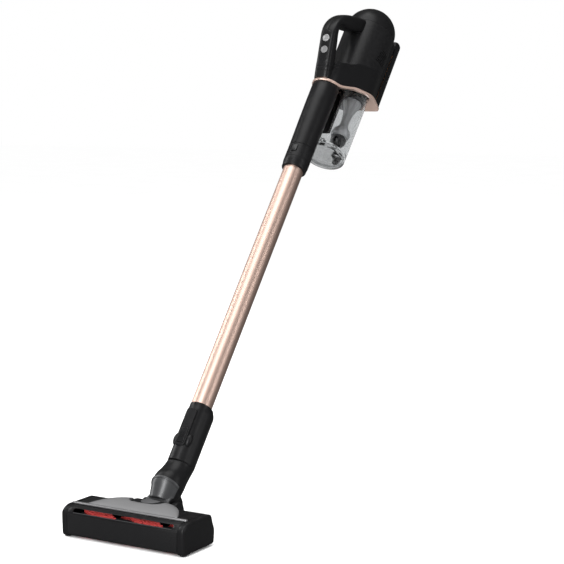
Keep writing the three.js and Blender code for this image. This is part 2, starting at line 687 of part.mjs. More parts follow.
function buildWheels() {
  for (const [side, label] of [[-1, 'left'], [1, 'right']]) {
    const x = side * (EAR_HALF + 0.6 + WHEEL_WIDTH / 2);
    const rear = wheel(WHEEL_RADIUS - 0.1, WHEEL_WIDTH, WHEEL_PIN + GAP, x, WHEEL_Y, WHEEL_RADIUS);
    piece(head, `rear_wheel_${label}`, rear, RUBBER);
    const glideZ = GLIDE_RADIUS + 0.2;
    const glide = wheel(GLIDE_RADIUS, GLIDE_WIDTH, GLIDE_PIN + GAP, side * GLIDE_X, GLIDE_Y, glideZ);
    piece(head, `sole_roller_${label}`, glide, RUBBER);
    const under = SOLE_Z + SCREW_HEAD_HEIGHT;
    const screw = turned([[0, SOLE_Z], [SCREW_HEAD, SOLE_Z], [SCREW_HEAD, under], [SCREW_RADIUS, under],
      [SCREW_RADIUS, SCREW_TOP], [0, SCREW_TOP]], { x: side * SCREW_X, y: SCREW_Y, sides: COARSE });
    piece(head, `sole_screw_${label}`, screw, STEEL);
  }
}

// ---------------------------------------------------------------- neck and wand

/** Rows of the neck above the pivot: height, radius and how far its middle sits from the wand's axis. */
const NECK_ROWS = [[8, 24.5, -6], [17.5, 25.8, -6], [27, 27.5, -6.2], [41, 29.6, -7], [55, 29, -5],
  [67, 27.2, 0], [79, 26, 4.5], [ELBOW_TOP - GAP, 25.8, 7]];

/** Round neck whose middle drifts forward and back up its height. */
function neckBody(extra) {
  const first = NECK_ROWS[0];
  const last = NECK_ROWS.at(-1);
  const profile = [[0, first[0]], ...NECK_ROWS.map(([z, radius]) => [radius + extra, z]), [0, last[0]]];
  const geometry = new THREE.LatheGeometry(vectors(profile), FINE);
  geometry.rotateX(Math.PI / 2);
  const place = geometry.getAttribute('position');
  for (let i = 0; i < place.count; i += 1) {
    const z = place.getZ(i);
    const row = NECK_ROWS.reduce((best, one) => (Math.abs(one[0] - z) < Math.abs(best[0] - z) ? one : best));
    place.setY(i, place.getY(i) + row[2]);
  }
  return solidOf(geometry);
}

/** Space over the front of the neck and its barrel, which the front cover fills. */
function coverSpace(extra) {
  const reach = 60;
  const spread = reach * Math.tan(radians(FRONT_SPREAD));
  const wedge = alongZ([[0, extra], [-spread, -reach], [spread, -reach]], -12 - extra, FRONT_TOP + extra);
  const core = rodX(ELBOW_BARREL - FRONT_SKIN - extra, -60, 60, 0, 0, FINE);
  const sides = block([-70, -70, -20], [70, 0, 10]);
  const shoulders = cut(sides, block([-ELBOW_HALF + 2 - extra, -80, -30], [ELBOW_HALF - 2 + extra, 10, 20]));
  return cut(wedge, neckBody(-FRONT_SKIN - extra), core, shoulders);
}

function buildNeck() {
  const pinHole = (side) => (
    rodX(PIVOT_PIN + TURN_GAP, ...sided(side, ELBOW_HALF - 8, ELBOW_HALF + 2), 0, 0, COARSE)
  );
  const barrel = (extra) => rodX(ELBOW_BARREL + extra, -ELBOW_HALF, ELBOW_HALF, 0, 0, FINE);
  const knuckle = rodX(KNUCKLE_RADIUS, -ELBOW_HALF, ELBOW_HALF, KNUCKLE_Y, KNUCKLE_Z, FINE);
  const duct = rod(ELBOW_DUCT, -40, ELBOW_TOP + 5);
  const seat = rod(COLLAR_RADIUS + GAP, ELBOW_TOP - COLLAR_REACH - GAP, ELBOW_TOP + 5, { y: SWIVEL_Y });
  const outer = join(barrel(0), knuckle, neckBody(0));
  const shell = cut(outer, duct, seat, coverSpace(GAP), pinHole(-1), pinHole(1));
  piece(stick, 'elbow_shell', shell, BLACK_SATIN);
  piece(stick, 'elbow_front_cover', common(join(barrel(0.5), neckBody(0.6)), coverSpace(0)), DARK_GREY);
  piece(stick, 'swivel_sleeve', ring(COLLAR_RADIUS, COLLAR_RADIUS - COLLAR_WALL, ELBOW_TOP - COLLAR_REACH,
    ELBOW_TOP + COLLAR_REACH, { y: SWIVEL_Y }), DARK_GREY);
}

/** Push button on the front of a tube: a rounded plate that passes into the wall. */
const frontButton = (half, low, high, front, back) => (
  alongY(roundRect([-half, low], [half, high], 3), front, back, 0.8)
);

/** The room that such a button needs, with its travel. */
const buttonSlot = (half, low, high, front, back) => (
  block([-half - GAP, front - 5, low - GAP], [half + GAP, back + BUTTON_TRAVEL + GAP, high + GAP])
);

function buildWand() {
  const top = CONNECTOR_TOP;
  const back = turned([[0, ELBOW_TOP], [CONNECTOR_RADIUS, ELBOW_TOP], [CONNECTOR_RADIUS, top - 14],
    [CONNECTOR_RADIUS - 4.5, top], [0, top]], { y: CONNECTOR_Y, sides: FINE });
  const face = turned([[0, ELBOW_TOP], [CONNECTOR_FRONT, ELBOW_TOP], [CONNECTOR_FRONT, top - 2],
    [CONNECTOR_FRONT - 1, top], [0, top]], { sides: FINE });
  const padFront = -CONNECTOR_FRONT - PAD_PROUD;
  const padOutline = roundRect([-PAD_HALF, ELBOW_TOP + PAD_LOW], [PAD_HALF, top - PAD_HIGH], 6);
  const pad = alongY(padOutline, padFront, -10, 1);
  const outer = join(back, face, pad);
  const socket = rod(WAND_RADIUS + GAP, WAND_BOTTOM - GAP, top + 5, { sides: FINE });
  const duct = rod(WAND_RADIUS - WAND_WALL - 1, ELBOW_TOP - 5, WAND_BOTTOM + 5);
  const seat = rod(COLLAR_RADIUS + TURN_GAP, ELBOW_TOP - 5, ELBOW_TOP + COLLAR_REACH + GAP, { y: SWIVEL_Y });
  const slot = [HEAD_KEY_HALF, ELBOW_TOP + HEAD_KEY_LOW, WAND_BOTTOM - HEAD_KEY_HIGH,
    padFront - BUTTON_PROUD, padFront + 3.4];
  const space = buttonSlot(...slot);
  piece(stick, 'lower_connector', cut(outer, socket, duct, seat, space), BLACK_SATIN);
  piece(stick, 'connector_release', frontButton(...slot), BLACK_GLOSS);
  const tube = ring(WAND_RADIUS, WAND_RADIUS - WAND_WALL, WAND_BOTTOM, WAND_TOP, { sides: FINE });
  piece(stick, 'wand_tube', tube, ROSE_GOLD);
}

// ---------------------------------------------------------------- handheld

/** Space above a line of [y, z] points, raised by some millimetres. */
function above(line, raise = 0) {
  const points = smooth(line, 16).map(([y, z]) => [y, z + raise]);
  return alongX([...points, [points.at(-1)[0], 1400], [points[0][0], 1400]], -90, 90);
}

const SPAN_Y = [-90, 180];
const widened = (line) => [[SPAN_Y[0], line[0][1]], ...line, [SPAN_Y[1], line.at(-1)[1]]];
const TRIM_WIDE = widened(TRIM_LINE);
const BODY_TOP_WIDE = widened(BODY_TOP_LINE);

/** Body seen down the stick: barrel circle, motor circle and square back, as one outline. */
const bodyPlan = (extra, back = BODY_BACK) => around([
  [0, 0, BODY_FRONT_RADIUS + extra],
  [0, CUP_Y, MOTOR_RADIUS + extra],
  [BODY_BACK_HALF - 6, back - 6, 6 + extra],
  [6 - BODY_BACK_HALF, back - 6, 6 + extra],
]);

/** Handle seen from the side, with the finger gap cut out, rounded across. */
function handleBlank() {
  const foot = [[40, 930], [-26, 930], [-30.5, 946]];
  const outline = [...foot, GRIP_FOOT, GRIP_HEAD, ...smooth(HANDLE_TOP_LINE, 14), [60, 930]];
  const gap = [...smooth(HANDLE_GAP, 14), ...GAP_BACK];
  const half = HANDLE_WIDTH / 2;
  return cut(alongX(outline, -half, half, HANDLE_ROUND), flaredX(gap, -half, half, HANDLE_ROUND));
}

function bodyShell(handle) {
  const plan = alongZ(bodyPlan(0), 920, 1100);
  const hollow = cut(alongZ(bodyPlan(-BODY_WALL), 900, 1120), above(BODY_TOP_WIDE, -BODY_WALL));
  const trimTop = above(TRIM_WIDE, TRIM_THICKNESS / 2 + GAP);
  const motorHole = rod(MOTOR_RADIUS - MOTOR_WALL - 4, 1000, 1100, { y: CUP_Y, sides: FINE });
  const outer = common(join(plan, handle), trimTop);
  return cut(outer, above(BODY_TOP_WIDE), hollow, motorHole);
}

function trimPlate() {
  const slab = cut(above(TRIM_WIDE, -TRIM_THICKNESS / 2), above(TRIM_WIDE, TRIM_THICKNESS / 2));
  const plan = alongZ(bodyPlan(TRIM_PROUD, BATTERY_BACK), 900, 1060);
  const widest = Math.max(CUP_RADIUS_LOW, CUP_RADIUS_HIGH);
  const cup = rod(widest + GAP, 900, 1060, { y: CUP_Y, sides: FINE });
  const air = rod(BARREL_BORE - 2, 900, 1060);
  return cut(common(slab, plan), cup, air);
}

/** Motor housing with a round top and a stack of louvres on each side. */
function motorCover() {
  const steps = 6;
  const inner = MOTOR_RADIUS - MOTOR_WALL;
  const arc = (radius) => Array.from({ length: steps + 1 }, (_, i) => {
    const angle = Math.PI / 2 * i / steps;
    return [radius * Math.cos(angle), DOME_START + radius * Math.sin(angle)];
  });
  const clean = (points) => points.map(([r, z], i) => [i === points.length - 1 ? 0 : r, z]);
  const at = { y: CUP_Y, sides: FINE };
  const outside = turned([[0, 1000], [MOTOR_RADIUS, 1000], ...clean(arc(MOTOR_RADIUS))], at);
  const inside = turned([[0, 990], [inner, 990], ...clean(arc(inner))], at);
  let cover = common(cut(outside, inside), above(BODY_TOP_WIDE, GAP));
  for (const side of [-1, 1]) {
    const [low, high] = sided(side, 30, 70);
    for (let i = 0; i < LOUVRES; i += 1) {
      const z = LOUVRE_LOW + LOUVRE_PITCH * i;
      cover = cut(cover, block([low, CUP_Y - 22, z], [high, CUP_Y + 10, z + LOUVRE_HEIGHT]));
    }
  }
  return cover;
}

function buildBody() {
  const handle = handleBlank();
  piece(stick, 'body_shell', bodyShell(handle), BLACK_MATT);
  piece(stick, 'trim_plate', trimPlate(), ROSE_GOLD);
  piece(stick, 'motor_cover', motorCover(), BLACK_GLOSS);

  const free = cut(common(handle, above(BODY_TOP_WIDE, GAP)),
    rod(MOTOR_RADIUS + GAP, 900, 1300, { y: CUP_Y, sides: FINE }));
  const panelEnd = GRIP_LENGTH + PANEL_OVER;
  const half = PANEL_WIDTH / 2;
  const recess = gripBlock([-half - GAP, -5, PANEL_LOW - 6],
    [half + GAP, PANEL_THICKNESS + GAP, panelEnd + GAP]);
  const pocket = gripBlock([-10, PANEL_THICKNESS + 4, 26], [10, 21, panelEnd - 4]);
  let shell = cut(free, recess, pocket);
  for (const height of BUTTON_HEIGHTS) {
    shell = cut(shell, gripTurned(rodProfile(KEY_STEM + 2 * GAP, 0, 10), height));
  }
  piece(stick, 'handle_left', common(shell, block([-60, -120, 900], [-GAP / 2, 120, 1300])), BLACK_SATIN);
  piece(stick, 'handle_right', common(shell, block([GAP / 2, -120, 900], [60, 120, 1300])), BLACK_SATIN);

  let panel = gripBlock([-half, 0.2, PANEL_LOW], [half, PANEL_THICKNESS, panelEnd]);
  for (const height of BUTTON_HEIGHTS) {
    panel = cut(panel, gripTurned(rodProfile(BUTTON_RADIUS + GAP, -5, 10), height));
  }
  piece(stick, 'control_panel', panel, BLACK_GLOSS);
  ['level_button', 'power_button'].forEach((name, i) => {
    const under = PANEL_THICKNESS - BUTTON_TRAVEL;
    const cap = gripTurned([[0, -BUTTON_PROUD], [BUTTON_RADIUS - 1, -BUTTON_PROUD], [BUTTON_RADIUS, 0],
      [BUTTON_RADIUS, under], [KEY_STEM, under], [KEY_STEM, 6], [0, 6]], BUTTON_HEIGHTS[i]);
    piece(stick, name, cap, SILVER_GREY);
  });
  const board = join(
    gripBlock([-8, 10, 28], [8, 11.6, panelEnd - 8]),
    gripBlock([-5, 11, 40], [5, 15, 52]),
    gripBlock([-6, 11, 58], [6, 14, 66]),
  );
  piece(stick, 'circuit_board', board, BOARD_GREEN);
}

function buildMotor() {
  const at = { y: CUP_Y, sides: PLAIN };
  const inner = MOTOR_RADIUS - MOTOR_WALL;
  const bore = MOTOR_SHAFT + GAP;
  const can = turned([[0, CAN_TOP], [CAN_RADIUS, CAN_TOP], [CAN_RADIUS, CAN_BOTTOM], [bore, CAN_BOTTOM],
    [bore, CAN_TOP - 8], [0, CAN_TOP - 8]], at);
  piece(stick, 'motor_can', can, STEEL);
  const wide = { ...at, sides: FINE };
  const mount = ring(inner - GAP, CAN_RADIUS + GAP, MOUNT_Z, MOUNT_Z + MOUNT_THICKNESS, wide);
  piece(stick, 'motor_mount', mount, DARK_GREY);
  const [plateLow, plateHigh] = [FAN_Z + 4, FAN_Z + 6];
  let rotor = turned([[0, FAN_Z - 8], [8, FAN_Z - 8], [8, plateLow], [FAN_RADIUS, plateLow],
    [FAN_RADIUS, plateHigh], [MOTOR_SHAFT, plateHigh], [MOTOR_SHAFT, CAN_TOP - 12], [0, CAN_TOP - 12]], at);
  for (let i = 0; i < FAN_BLADES; i += 1) {
    const geometry = new THREE.BoxGeometry(30, 1.4, 9);
    geometry.translate(20, 0, FAN_Z);
    geometry.rotateZ(2 * Math.PI * i / FAN_BLADES);
    geometry.translate(0, CUP_Y, 0);
    rotor = join(rotor, solidOf(geometry));
  }
  piece(stick, 'fan_rotor', rotor, DARK_GREY);
  piece(stick, 'exhaust_filter', ring(inner - GAP, 20, EXHAUST_LOW, EXHAUST_HIGH, wide), FILTER_WHITE);
  const filter = rod(CUP_RADIUS_HIGH - PRE_FILTER_INSET, CUP_TOP + 3.4, CUP_TOP + 16, at);
  piece(stick, 'pre_filter', filter, FILTER_WHITE);
}

function buildBarrel() {
  const at = { sides: FINE };
  const under = above(TRIM_WIDE, -TRIM_THICKNESS / 2 - GAP);
  const outer = turned([[0, COLLAR_TOP + GAP], [BARREL_RADIUS_LOW + 1, COLLAR_TOP + GAP],
    [BARREL_RADIUS_HIGH, 900], [BARREL_RADIUS_HIGH, 990], [0, 990]], at);
  piece(stick, 'intake_barrel', cut(outer, rod(BARREL_BORE, 700, 1000, at), under), BLACK_SATIN);
  const low = BARREL_BOTTOM;
  const collar = turned([[0, low], [BARREL_RADIUS_LOW - 1, low], [BARREL_RADIUS_LOW, low + 2],
    [BARREL_RADIUS_LOW + 1, low + 12], [BARREL_RADIUS_LOW + 1, COLLAR_TOP], [0, COLLAR_TOP]], at);
  const socket = rod(WAND_RADIUS + GAP, low - 5, WAND_TOP + GAP, at);
  const front = -BARREL_RADIUS_LOW - 2.2;
  const slot = [WAND_KEY_HALF, low + WAND_KEY_LOW, low + WAND_KEY_HIGH, front, front + 5];
  const duct = rod(WAND_RADIUS - WAND_WALL - 1, low, COLLAR_TOP + 5, at);
  piece(stick, 'barrel_collar', cut(collar, socket, duct, buttonSlot(...slot)), BLACK_SATIN);
  piece(stick, 'barrel_release', frontButton(...slot), BLACK_GLOSS);
}

function buildCup() {
  const at = { y: CUP_Y, sides: FINE };
  const low = CUP_BOTTOM;
  const wall = CUP_WALL;
  const outerWall = turned([[CUP_RADIUS_LOW - wall, low], [CUP_RADIUS_LOW, low], [CUP_RADIUS_HIGH, CUP_TOP],
    [CUP_RADIUS_HIGH - wall, CUP_TOP], [CUP_RADIUS_LOW - wall, low]], at);
  const hingeZ = low - GAP - FLAP_THICKNESS / 2;
  const buttonZ = low + FLAP_KEY_UP;
  const stemHole = new THREE.CylinderGeometry(KEY_STEM + GAP, KEY_STEM + GAP, 20, COARSE);
  stemHole.translate(0, CUP_Y + CUP_RADIUS_LOW, buttonZ);
  let cupWall = cut(outerWall, solidOf(stemHole));
  const pinHole = rodX(HINGE_PIN + GAP, -30, 30, HINGE_Y, hingeZ, COARSE);
  for (const side of [-1, 1]) {
    const [a, b] = sided(side, KNUCKLE_HALF + GAP, HINGE_HALF);
    const lug = join(rodX(HINGE_RADIUS, a, b, HINGE_Y, hingeZ, COARSE),
      block([a, HINGE_Y - HINGE_RADIUS, hingeZ], [b, HINGE_Y + HINGE_RADIUS, low + 6]),
      block([a, HINGE_Y, low + 0.4], [b, CUP_Y - CUP_RADIUS_LOW + 3.4, low + 6]));
    cupWall = join(cupWall, lug);
  }
  const hollow = rod(CUP_RADIUS_LOW - wall, low - 1, low + 20, at);
  piece(stick, 'cup_wall', cut(cupWall, pinHole, hollow), CLEAR_SMOKE);

  const flapLow = low - GAP - FLAP_THICKNESS;
  const lip = CUP_RADIUS_LOW - wall - LIP_CLEARANCE;
  const lipIn = lip - LIP_WIDTH;
  const disc = turned([[0, flapLow], [CUP_RADIUS_LOW - 2.5, flapLow], [CUP_RADIUS_LOW, flapLow + 2.5],
    [CUP_RADIUS_LOW, low - GAP], [lip, low - GAP], [lip, low + 3], [lipIn, low + 3], [lipIn, flapLow + 2.5],
    [11, flapLow + 2.5], [11, flapLow + 5], [8, flapLow + 5], [8, flapLow + 2.5], [0, flapLow + 2.5]], at);
  const half = KNUCKLE_HALF;
  const knuckle = join(rodX(HINGE_RADIUS, -half, half, HINGE_Y, hingeZ, COARSE),
    block([-half, HINGE_Y, hingeZ - 2.4], [half, CUP_Y - CUP_RADIUS_LOW + 4, hingeZ + 2.4]));
  const lugRoom = (side) => {
    const [a, b] = sided(side, half, HINGE_HALF + GAP);
    return block([a, HINGE_Y - 10, flapLow - 1], [b, HINGE_Y + HINGE_RADIUS + 4 * GAP, low]);
  };
  piece(stick, 'cup_flap', cut(join(disc, knuckle), pinHole, lugRoom(-1), lugRoom(1)), CLEAR_SMOKE);
  piece(stick, 'flap_pin', rodX(HINGE_PIN, -HINGE_HALF, HINGE_HALF, HINGE_Y, hingeZ, COARSE), STEEL);

  const button = new THREE.LatheGeometry(vectors([[0, 2.2], [8, 2.2], [8, 4.2], [7, 5], [0, 5]]), PLAIN);
  const stem = new THREE.CylinderGeometry(KEY_STEM, KEY_STEM, 9, COARSE);
  stem.translate(0, -1.5, 0);
  const place = [0, CUP_Y + CUP_RADIUS_LOW, buttonZ];
  button.translate(...place);
  stem.translate(...place);
  piece(stick, 'flap_release', join(solidOf(button), solidOf(stem)), DARK_GREY);

  const seal = ring(CUP_RADIUS_HIGH - 0.5, CUP_RADIUS_HIGH - 8, CUP_TOP + GAP, CUP_TOP + 3, at);
  piece(stick, 'cup_seal', seal, RUBBER);
  const narrowest = Math.min(CUP_RADIUS_LOW, CUP_RADIUS_HIGH);
  const inside = rod(narrowest - wall - 1, DUCT_BOTTOM - 8, DUCT_TOP + 1, at);
  const clear = DUCT_HALF - DUCT_WALL;
  const hood = alongZ(roundRect([-DUCT_HALF, 33], [DUCT_HALF, 52], 6), DUCT_BOTTOM, DUCT_TOP);
  const bore = roundRect([-clear, 30], [clear, 52 - DUCT_WALL], 4);
  const channel = alongZ(bore, DUCT_BOTTOM - 8, DUCT_TOP - DUCT_WALL);
  piece(stick, 'inlet_duct', cut(common(inside, hood), channel), BLACK_SATIN);
  const flange = CUP_RADIUS_HIGH - PRE_FILTER_INSET + 1;
  const cone = smooth([[0, 884], [9, 887], [15.5, 899], [12, 911], [8.5, 920], [10, 940], [17, 962],
    [22, 974]], 11);
  const finder = turned([...cone, [flange, 976], [flange, 1004], [30, 1004], [30, 980], [0, 980]],
    { y: CUP_Y, sides: PLAIN });
  piece(stick, 'vortex_finder', finder, DARK_GREY);
}

function buildBattery() {
  const front = BODY_BACK + GAP;
  const half = BATTERY_HALF;
  const plan = roundRect([-half, front], [half, BATTERY_BACK], 7);
  const side = [[front - 10, BATTERY_BOTTOM], [BATTERY_BACK + 1, BATTERY_BOTTOM],
    [BATTERY_BACK + 1, BATTERY_TOP - 16], [BATTERY_BACK - 3, BATTERY_TOP - 5],
    [BATTERY_BACK - 9, BATTERY_TOP], [front - 10, BATTERY_TOP]];
  const outer = common(alongZ(plan, BATTERY_BOTTOM, BATTERY_TOP, 1.6), alongX(side, -60, 60));
  const w = BATTERY_WALL;
  const hollow = block([-half + w, front + w, BATTERY_BOTTOM + w],
    [half - w, BATTERY_BACK - w, BATTERY_TOP - 20]);
  const contacts = block([-14, front - 5, 1030], [14, front + 5, 1046]);
  const latchSlot = block([-LATCH_HALF - GAP, BATTERY_BACK - 5, LATCH_LOW - GAP],
    [LATCH_HALF + GAP, BATTERY_BACK + 5, LATCH_HIGH + GAP]);
  piece(stick, 'battery_case', cut(outer, hollow, contacts, latchSlot), BLACK_SATIN);
  const latch = roundRect([BATTERY_BACK - 3.4, LATCH_LOW], [BATTERY_BACK + 0.2, LATCH_HIGH], 1);
  piece(stick, 'battery_release', alongX(latch, -LATCH_HALF, LATCH_HALF), BLACK_GLOSS);

  const middle = (front + BATTERY_BACK) / 2;
  const cellLow = BATTERY_BOTTOM + w + 3;
  const joint = cellLow + CELL_LENGTH;
  let pack = block([-34, middle - CELL_RADIUS, joint - 1], [34, middle + CELL_RADIUS, joint + 1]);
  for (const x of [-20, 0, 20]) {
    for (const row of [0, 1]) {
      const start = cellLow + row * CELL_LENGTH;
      const at = { x, y: middle, sides: COARSE };
      pack = join(pack, rod(CELL_RADIUS, start, start + CELL_LENGTH - 1 + row, at));
    }
  }
  piece(stick, 'cell_pack', pack, COPPER);

  const dock = block([-DOCK_HALF, 112, 1040], [DOCK_HALF, BODY_BACK, LATCH_HIGH]);
  const motor = rod(MOTOR_RADIUS + GAP, 900, 1151, { y: CUP_Y, sides: FINE });
  const ball = new THREE.SphereGeometry(MOTOR_RADIUS + GAP + 0.2, FINE, PLAIN);
  const crown = solidOf(ball.translate(0, CUP_Y, DOME_START));
  piece(stick, 'battery_dock', common(cut(dock, motor, crown), above(BODY_TOP_WIDE, GAP)), BLACK_SATIN);
}

// ---------------------------------------------------------------- assembly

buildHead();
buildNeck();
buildWand();
buildBody();
buildMotor();
buildBarrel();
buildCup();
buildBattery();

stick.position.set(0, PIVOT_Y, PIVOT_Z);
stick.rotation.x = -radians(LEAN);
stick.updateMatrixWorld();
const middleY = GRIP_FOOT[0] - GRIP_HEIGHT * Math.sin(GRIP_SLOPE) + GRIP_DEPTH * Math.cos(GRIP_SLOPE);
const middleZ = GRIP_FOOT[1] + GRIP_HEIGHT * Math.cos(GRIP_SLOPE) + GRIP_DEPTH * Math.sin(GRIP_SLOPE);
const grip = stick.localToWorld(new THREE.Vector3(0, middleY, middleZ));
vacuum.position.copy(grip).negate();

export default vacuum;
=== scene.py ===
import json
import math
import random

import bmesh
import bpy
from bpy.props import FloatProperty, FloatVectorProperty, IntProperty, PointerProperty
from mathutils import Matrix, Vector
from mathutils.geometry import interpolate_bezier


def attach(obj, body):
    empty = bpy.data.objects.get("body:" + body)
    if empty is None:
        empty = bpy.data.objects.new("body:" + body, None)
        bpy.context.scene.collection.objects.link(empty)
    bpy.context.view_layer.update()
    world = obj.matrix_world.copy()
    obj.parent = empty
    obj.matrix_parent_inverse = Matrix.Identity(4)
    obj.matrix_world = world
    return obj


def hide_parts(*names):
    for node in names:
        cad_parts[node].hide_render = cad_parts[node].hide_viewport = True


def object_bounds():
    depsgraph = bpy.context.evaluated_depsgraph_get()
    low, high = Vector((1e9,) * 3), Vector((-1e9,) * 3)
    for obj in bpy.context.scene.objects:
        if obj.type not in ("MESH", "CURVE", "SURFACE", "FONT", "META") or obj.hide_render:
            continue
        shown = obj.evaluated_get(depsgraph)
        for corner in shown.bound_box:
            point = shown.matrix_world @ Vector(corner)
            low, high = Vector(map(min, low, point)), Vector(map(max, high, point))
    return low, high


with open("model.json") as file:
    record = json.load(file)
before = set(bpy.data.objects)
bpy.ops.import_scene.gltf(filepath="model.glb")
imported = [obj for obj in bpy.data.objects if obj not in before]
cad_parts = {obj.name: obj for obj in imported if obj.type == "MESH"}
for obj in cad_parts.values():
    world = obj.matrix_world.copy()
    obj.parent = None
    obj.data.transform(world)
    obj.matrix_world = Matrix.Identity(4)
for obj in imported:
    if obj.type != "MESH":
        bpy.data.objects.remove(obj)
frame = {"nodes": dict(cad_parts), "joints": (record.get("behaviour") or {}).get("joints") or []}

bl_info = {
    "name": "Cordless Stick Vacuum",
    "version": (1, 0, 0),
    "blender": (4, 5, 0),
    "location": "3D View > Sidebar > Vacuum",
    "description": "Builds the finished surfaces of a cordless stick vacuum around its working frame",
    "category": "Object",
}

CAD_LOW, CAD_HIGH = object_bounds()
JOINT = {joint["name"]: joint for joint in frame["joints"]}
MM = 0.001
GAP = 0.3                        # clearance between neighbouring pieces, mm


# ------------------------------------------------------------------ the two working spaces

def stick_space():
    """Millimetres in the stick's own frame: z up the wand's axis, -y the handle side, +y the cup side."""
    up = Vector(JOINT["fan_spin"]["axis"])
    across = Vector((1, 0, 0))
    back = up.cross(across)
    origin = Vector(JOINT["fan_spin"]["pos_m"]) - MM * (CUP_Y * back + FAN_Z * up)
    turn = Matrix((across, back, up)).transposed().to_4x4()
    return Matrix.Translation(origin) @ turn @ Matrix.Scale(MM, 4)


def head_space():
    """Millimetres in the floor head's frame: z = 0 on the floor, y = 0 at its front, x = 0 in its middle."""
    origin = Vector(JOINT["roller_spin"]["pos_m"]) - MM * Vector((0, ROLLER_Y, ROLLER_Z))
    return Matrix.Translation(origin) @ Matrix.Scale(MM, 4)


CUP_Y = 79.0                     # axis of the dust cup and the motor, in the stick's frame
FAN_Z = 1044.0
ROLLER_Y = 31.0                  # brush roller, in the head's frame
ROLLER_Z = 24.5
STICK = stick_space()
HEAD = head_space()
LEAN = math.degrees(math.acos(JOINT["fan_spin"]["axis"][2]))


# ------------------------------------------------------------------ mesh helpers (millimetres)

def new_object(name, bm):
    """A linked object made from a bmesh, with its faces pointing out."""
    bmesh.ops.recalc_face_normals(bm, faces=bm.faces)
    mesh = bpy.data.meshes.new(name)
    bm.to_mesh(mesh)
    bm.free()
    obj = bpy.data.objects.new(name, mesh)
    bpy.context.scene.collection.objects.link(obj)
    return obj


def settle(obj):
    """Applies the object's modifiers to its mesh."""
    graph = bpy.context.evaluated_depsgraph_get()
    mesh = bpy.data.meshes.new_from_object(obj.evaluated_get(graph))
    obj.modifiers.clear()
    old = obj.data
    obj.data = mesh
    bpy.data.meshes.remove(old)
    return obj


def combine(base, operation, *tools):
    """Cuts, joins or intersects the base with each tool, and deletes the tools."""
    for tool in tools:
        modifier = base.modifiers.new("combine", "BOOLEAN")
        modifier.solver = "EXACT"
        modifier.operation = operation
        modifier.object = tool
        settle(base)
        bpy.data.objects.remove(tool)
    return base


def cut(base, *tools):
    return combine(base, "DIFFERENCE", *tools)


def join(base, *tools):
    return combine(base, "UNION", *tools)


def common(base, *tools):
    return combine(base, "INTERSECT", *tools)


def soften(obj, width, segments=3, angle=35.0):
    """Rounds every edge sharper than an angle."""
    modifier = obj.modifiers.new("soften", "BEVEL")
    modifier.width = width
    modifier.segments = segments
    modifier.limit_method = "ANGLE"
    modifier.angle_limit = math.radians(angle)
    modifier.miter_outer = "MITER_ARC"
    return settle(obj)


def mirror_image(obj):
    """Turns a piece into its mirror image across the machine's middle."""
    obj.data.transform(Matrix.Diagonal((-1, 1, 1, 1)))
    obj.data.flip_normals()
    return obj


def finish_piece(obj, space, material, body, nodes=(), sharp=32.0):
    """Moves a piece from its working space into place, and gives it its material and its body."""
    obj.data.transform(space)
    obj.data.update()
    obj.data.polygons.foreach_set("use_smooth", [True] * len(obj.data.polygons))
    obj.data.set_sharp_from_angle(angle=math.radians(sharp))
    obj.data.materials.clear()
    obj.data.materials.append(material)
    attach(obj, body)
    if nodes:
        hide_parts(*nodes)
    return obj


AXES = {
    "X": Matrix(((0, 0, 1, 0), (1, 0, 0, 0), (0, 1, 0, 0), (0, 0, 0, 1))),
    "Y": Matrix(((1, 0, 0, 0), (0, 0, -1, 0), (0, 1, 0, 0), (0, 0, 0, 1))),
    "Z": Matrix.Identity(4),
}


def lathe(name, profile, centre=(0, 0), axis="Z", segments=96):
    """[radius, height] profile turned about an axis. centre is (x, y) about Z and (y, z) about X."""
    bm = bmesh.new()
    rings = []
    for radius, height in profile:
        if radius < 1e-6:
            rings.append([bm.verts.new((0, 0, height))])
            continue
        angles = [2 * math.pi * i / segments for i in range(segments)]
        rings.append([bm.verts.new((radius * math.cos(t), radius * math.sin(t), height)) for t in angles])
    closed = profile[0][0] > 1e-6 and profile[-1][0] > 1e-6
    pairs = list(zip(rings, rings[1:])) + ([(rings[-1], rings[0])] if closed else [])
    for low, high in pairs:
        for i in range(segments):
            j = (i + 1) % segments
            corners = [low[i % len(low)], low[j % len(low)], high[j % len(high)], high[i % len(high)]]
            unique = list(dict.fromkeys(corners))
            if len(unique) > 2:
                bm.faces.new(unique)
    bm.transform(AXES[axis])
    shift = (0, *centre) if axis == "X" else (*centre, 0)
    bm.transform(Matrix.Translation(shift))
    return new_object(name, bm)


def prism(name, outline, low, high, axis="X", round_ends=0.0, segments=4):
    """An outline carried along an axis: [y, z] along X, [x, z] along Y or [x, y] along Z."""
    bm = bmesh.new()
    if axis == "Y":
        low, high = -high, -low
    rings = [[bm.verts.new((u, v, w)) for u, v in outline] for w in (low, high)]
    count = len(outline)
    bm.faces.new(rings[0])
    bm.faces.new(rings[1])
    for i in range(count):
        j = (i + 1) % count
        bm.faces.new((rings[0][i], rings[0][j], rings[1][j], rings[1][i]))
    bm.transform(AXES[axis])
    obj = new_object(name, bm)
    return soften(obj, round_ends, segments, 50) if round_ends else obj


def block(name, low, high, round_edges=0.0, segments=3):
    """A box between two corners, with round edges."""
    outline = [(low[0], low[1]), (high[0], low[1]), (high[0], high[1]), (low[0], high[1])]
    return prism(name, outline, low[2], high[2], "Z", round_edges, segments)


def loft(name, sections):
    """A closed skin through rings of the same number of points."""
    bm = bmesh.new()
    rings = [[bm.verts.new(point) for point in section] for section in sections]
    count = len(rings[0])
    for low, high in zip(rings, rings[1:]):
        for i in range(count):
            j = (i + 1) % count
            bm.faces.new((low[i], low[j], high[j], high[i]))
    bm.faces.new(rings[0])
    bm.faces.new(rings[-1])
    return new_object(name, bm)


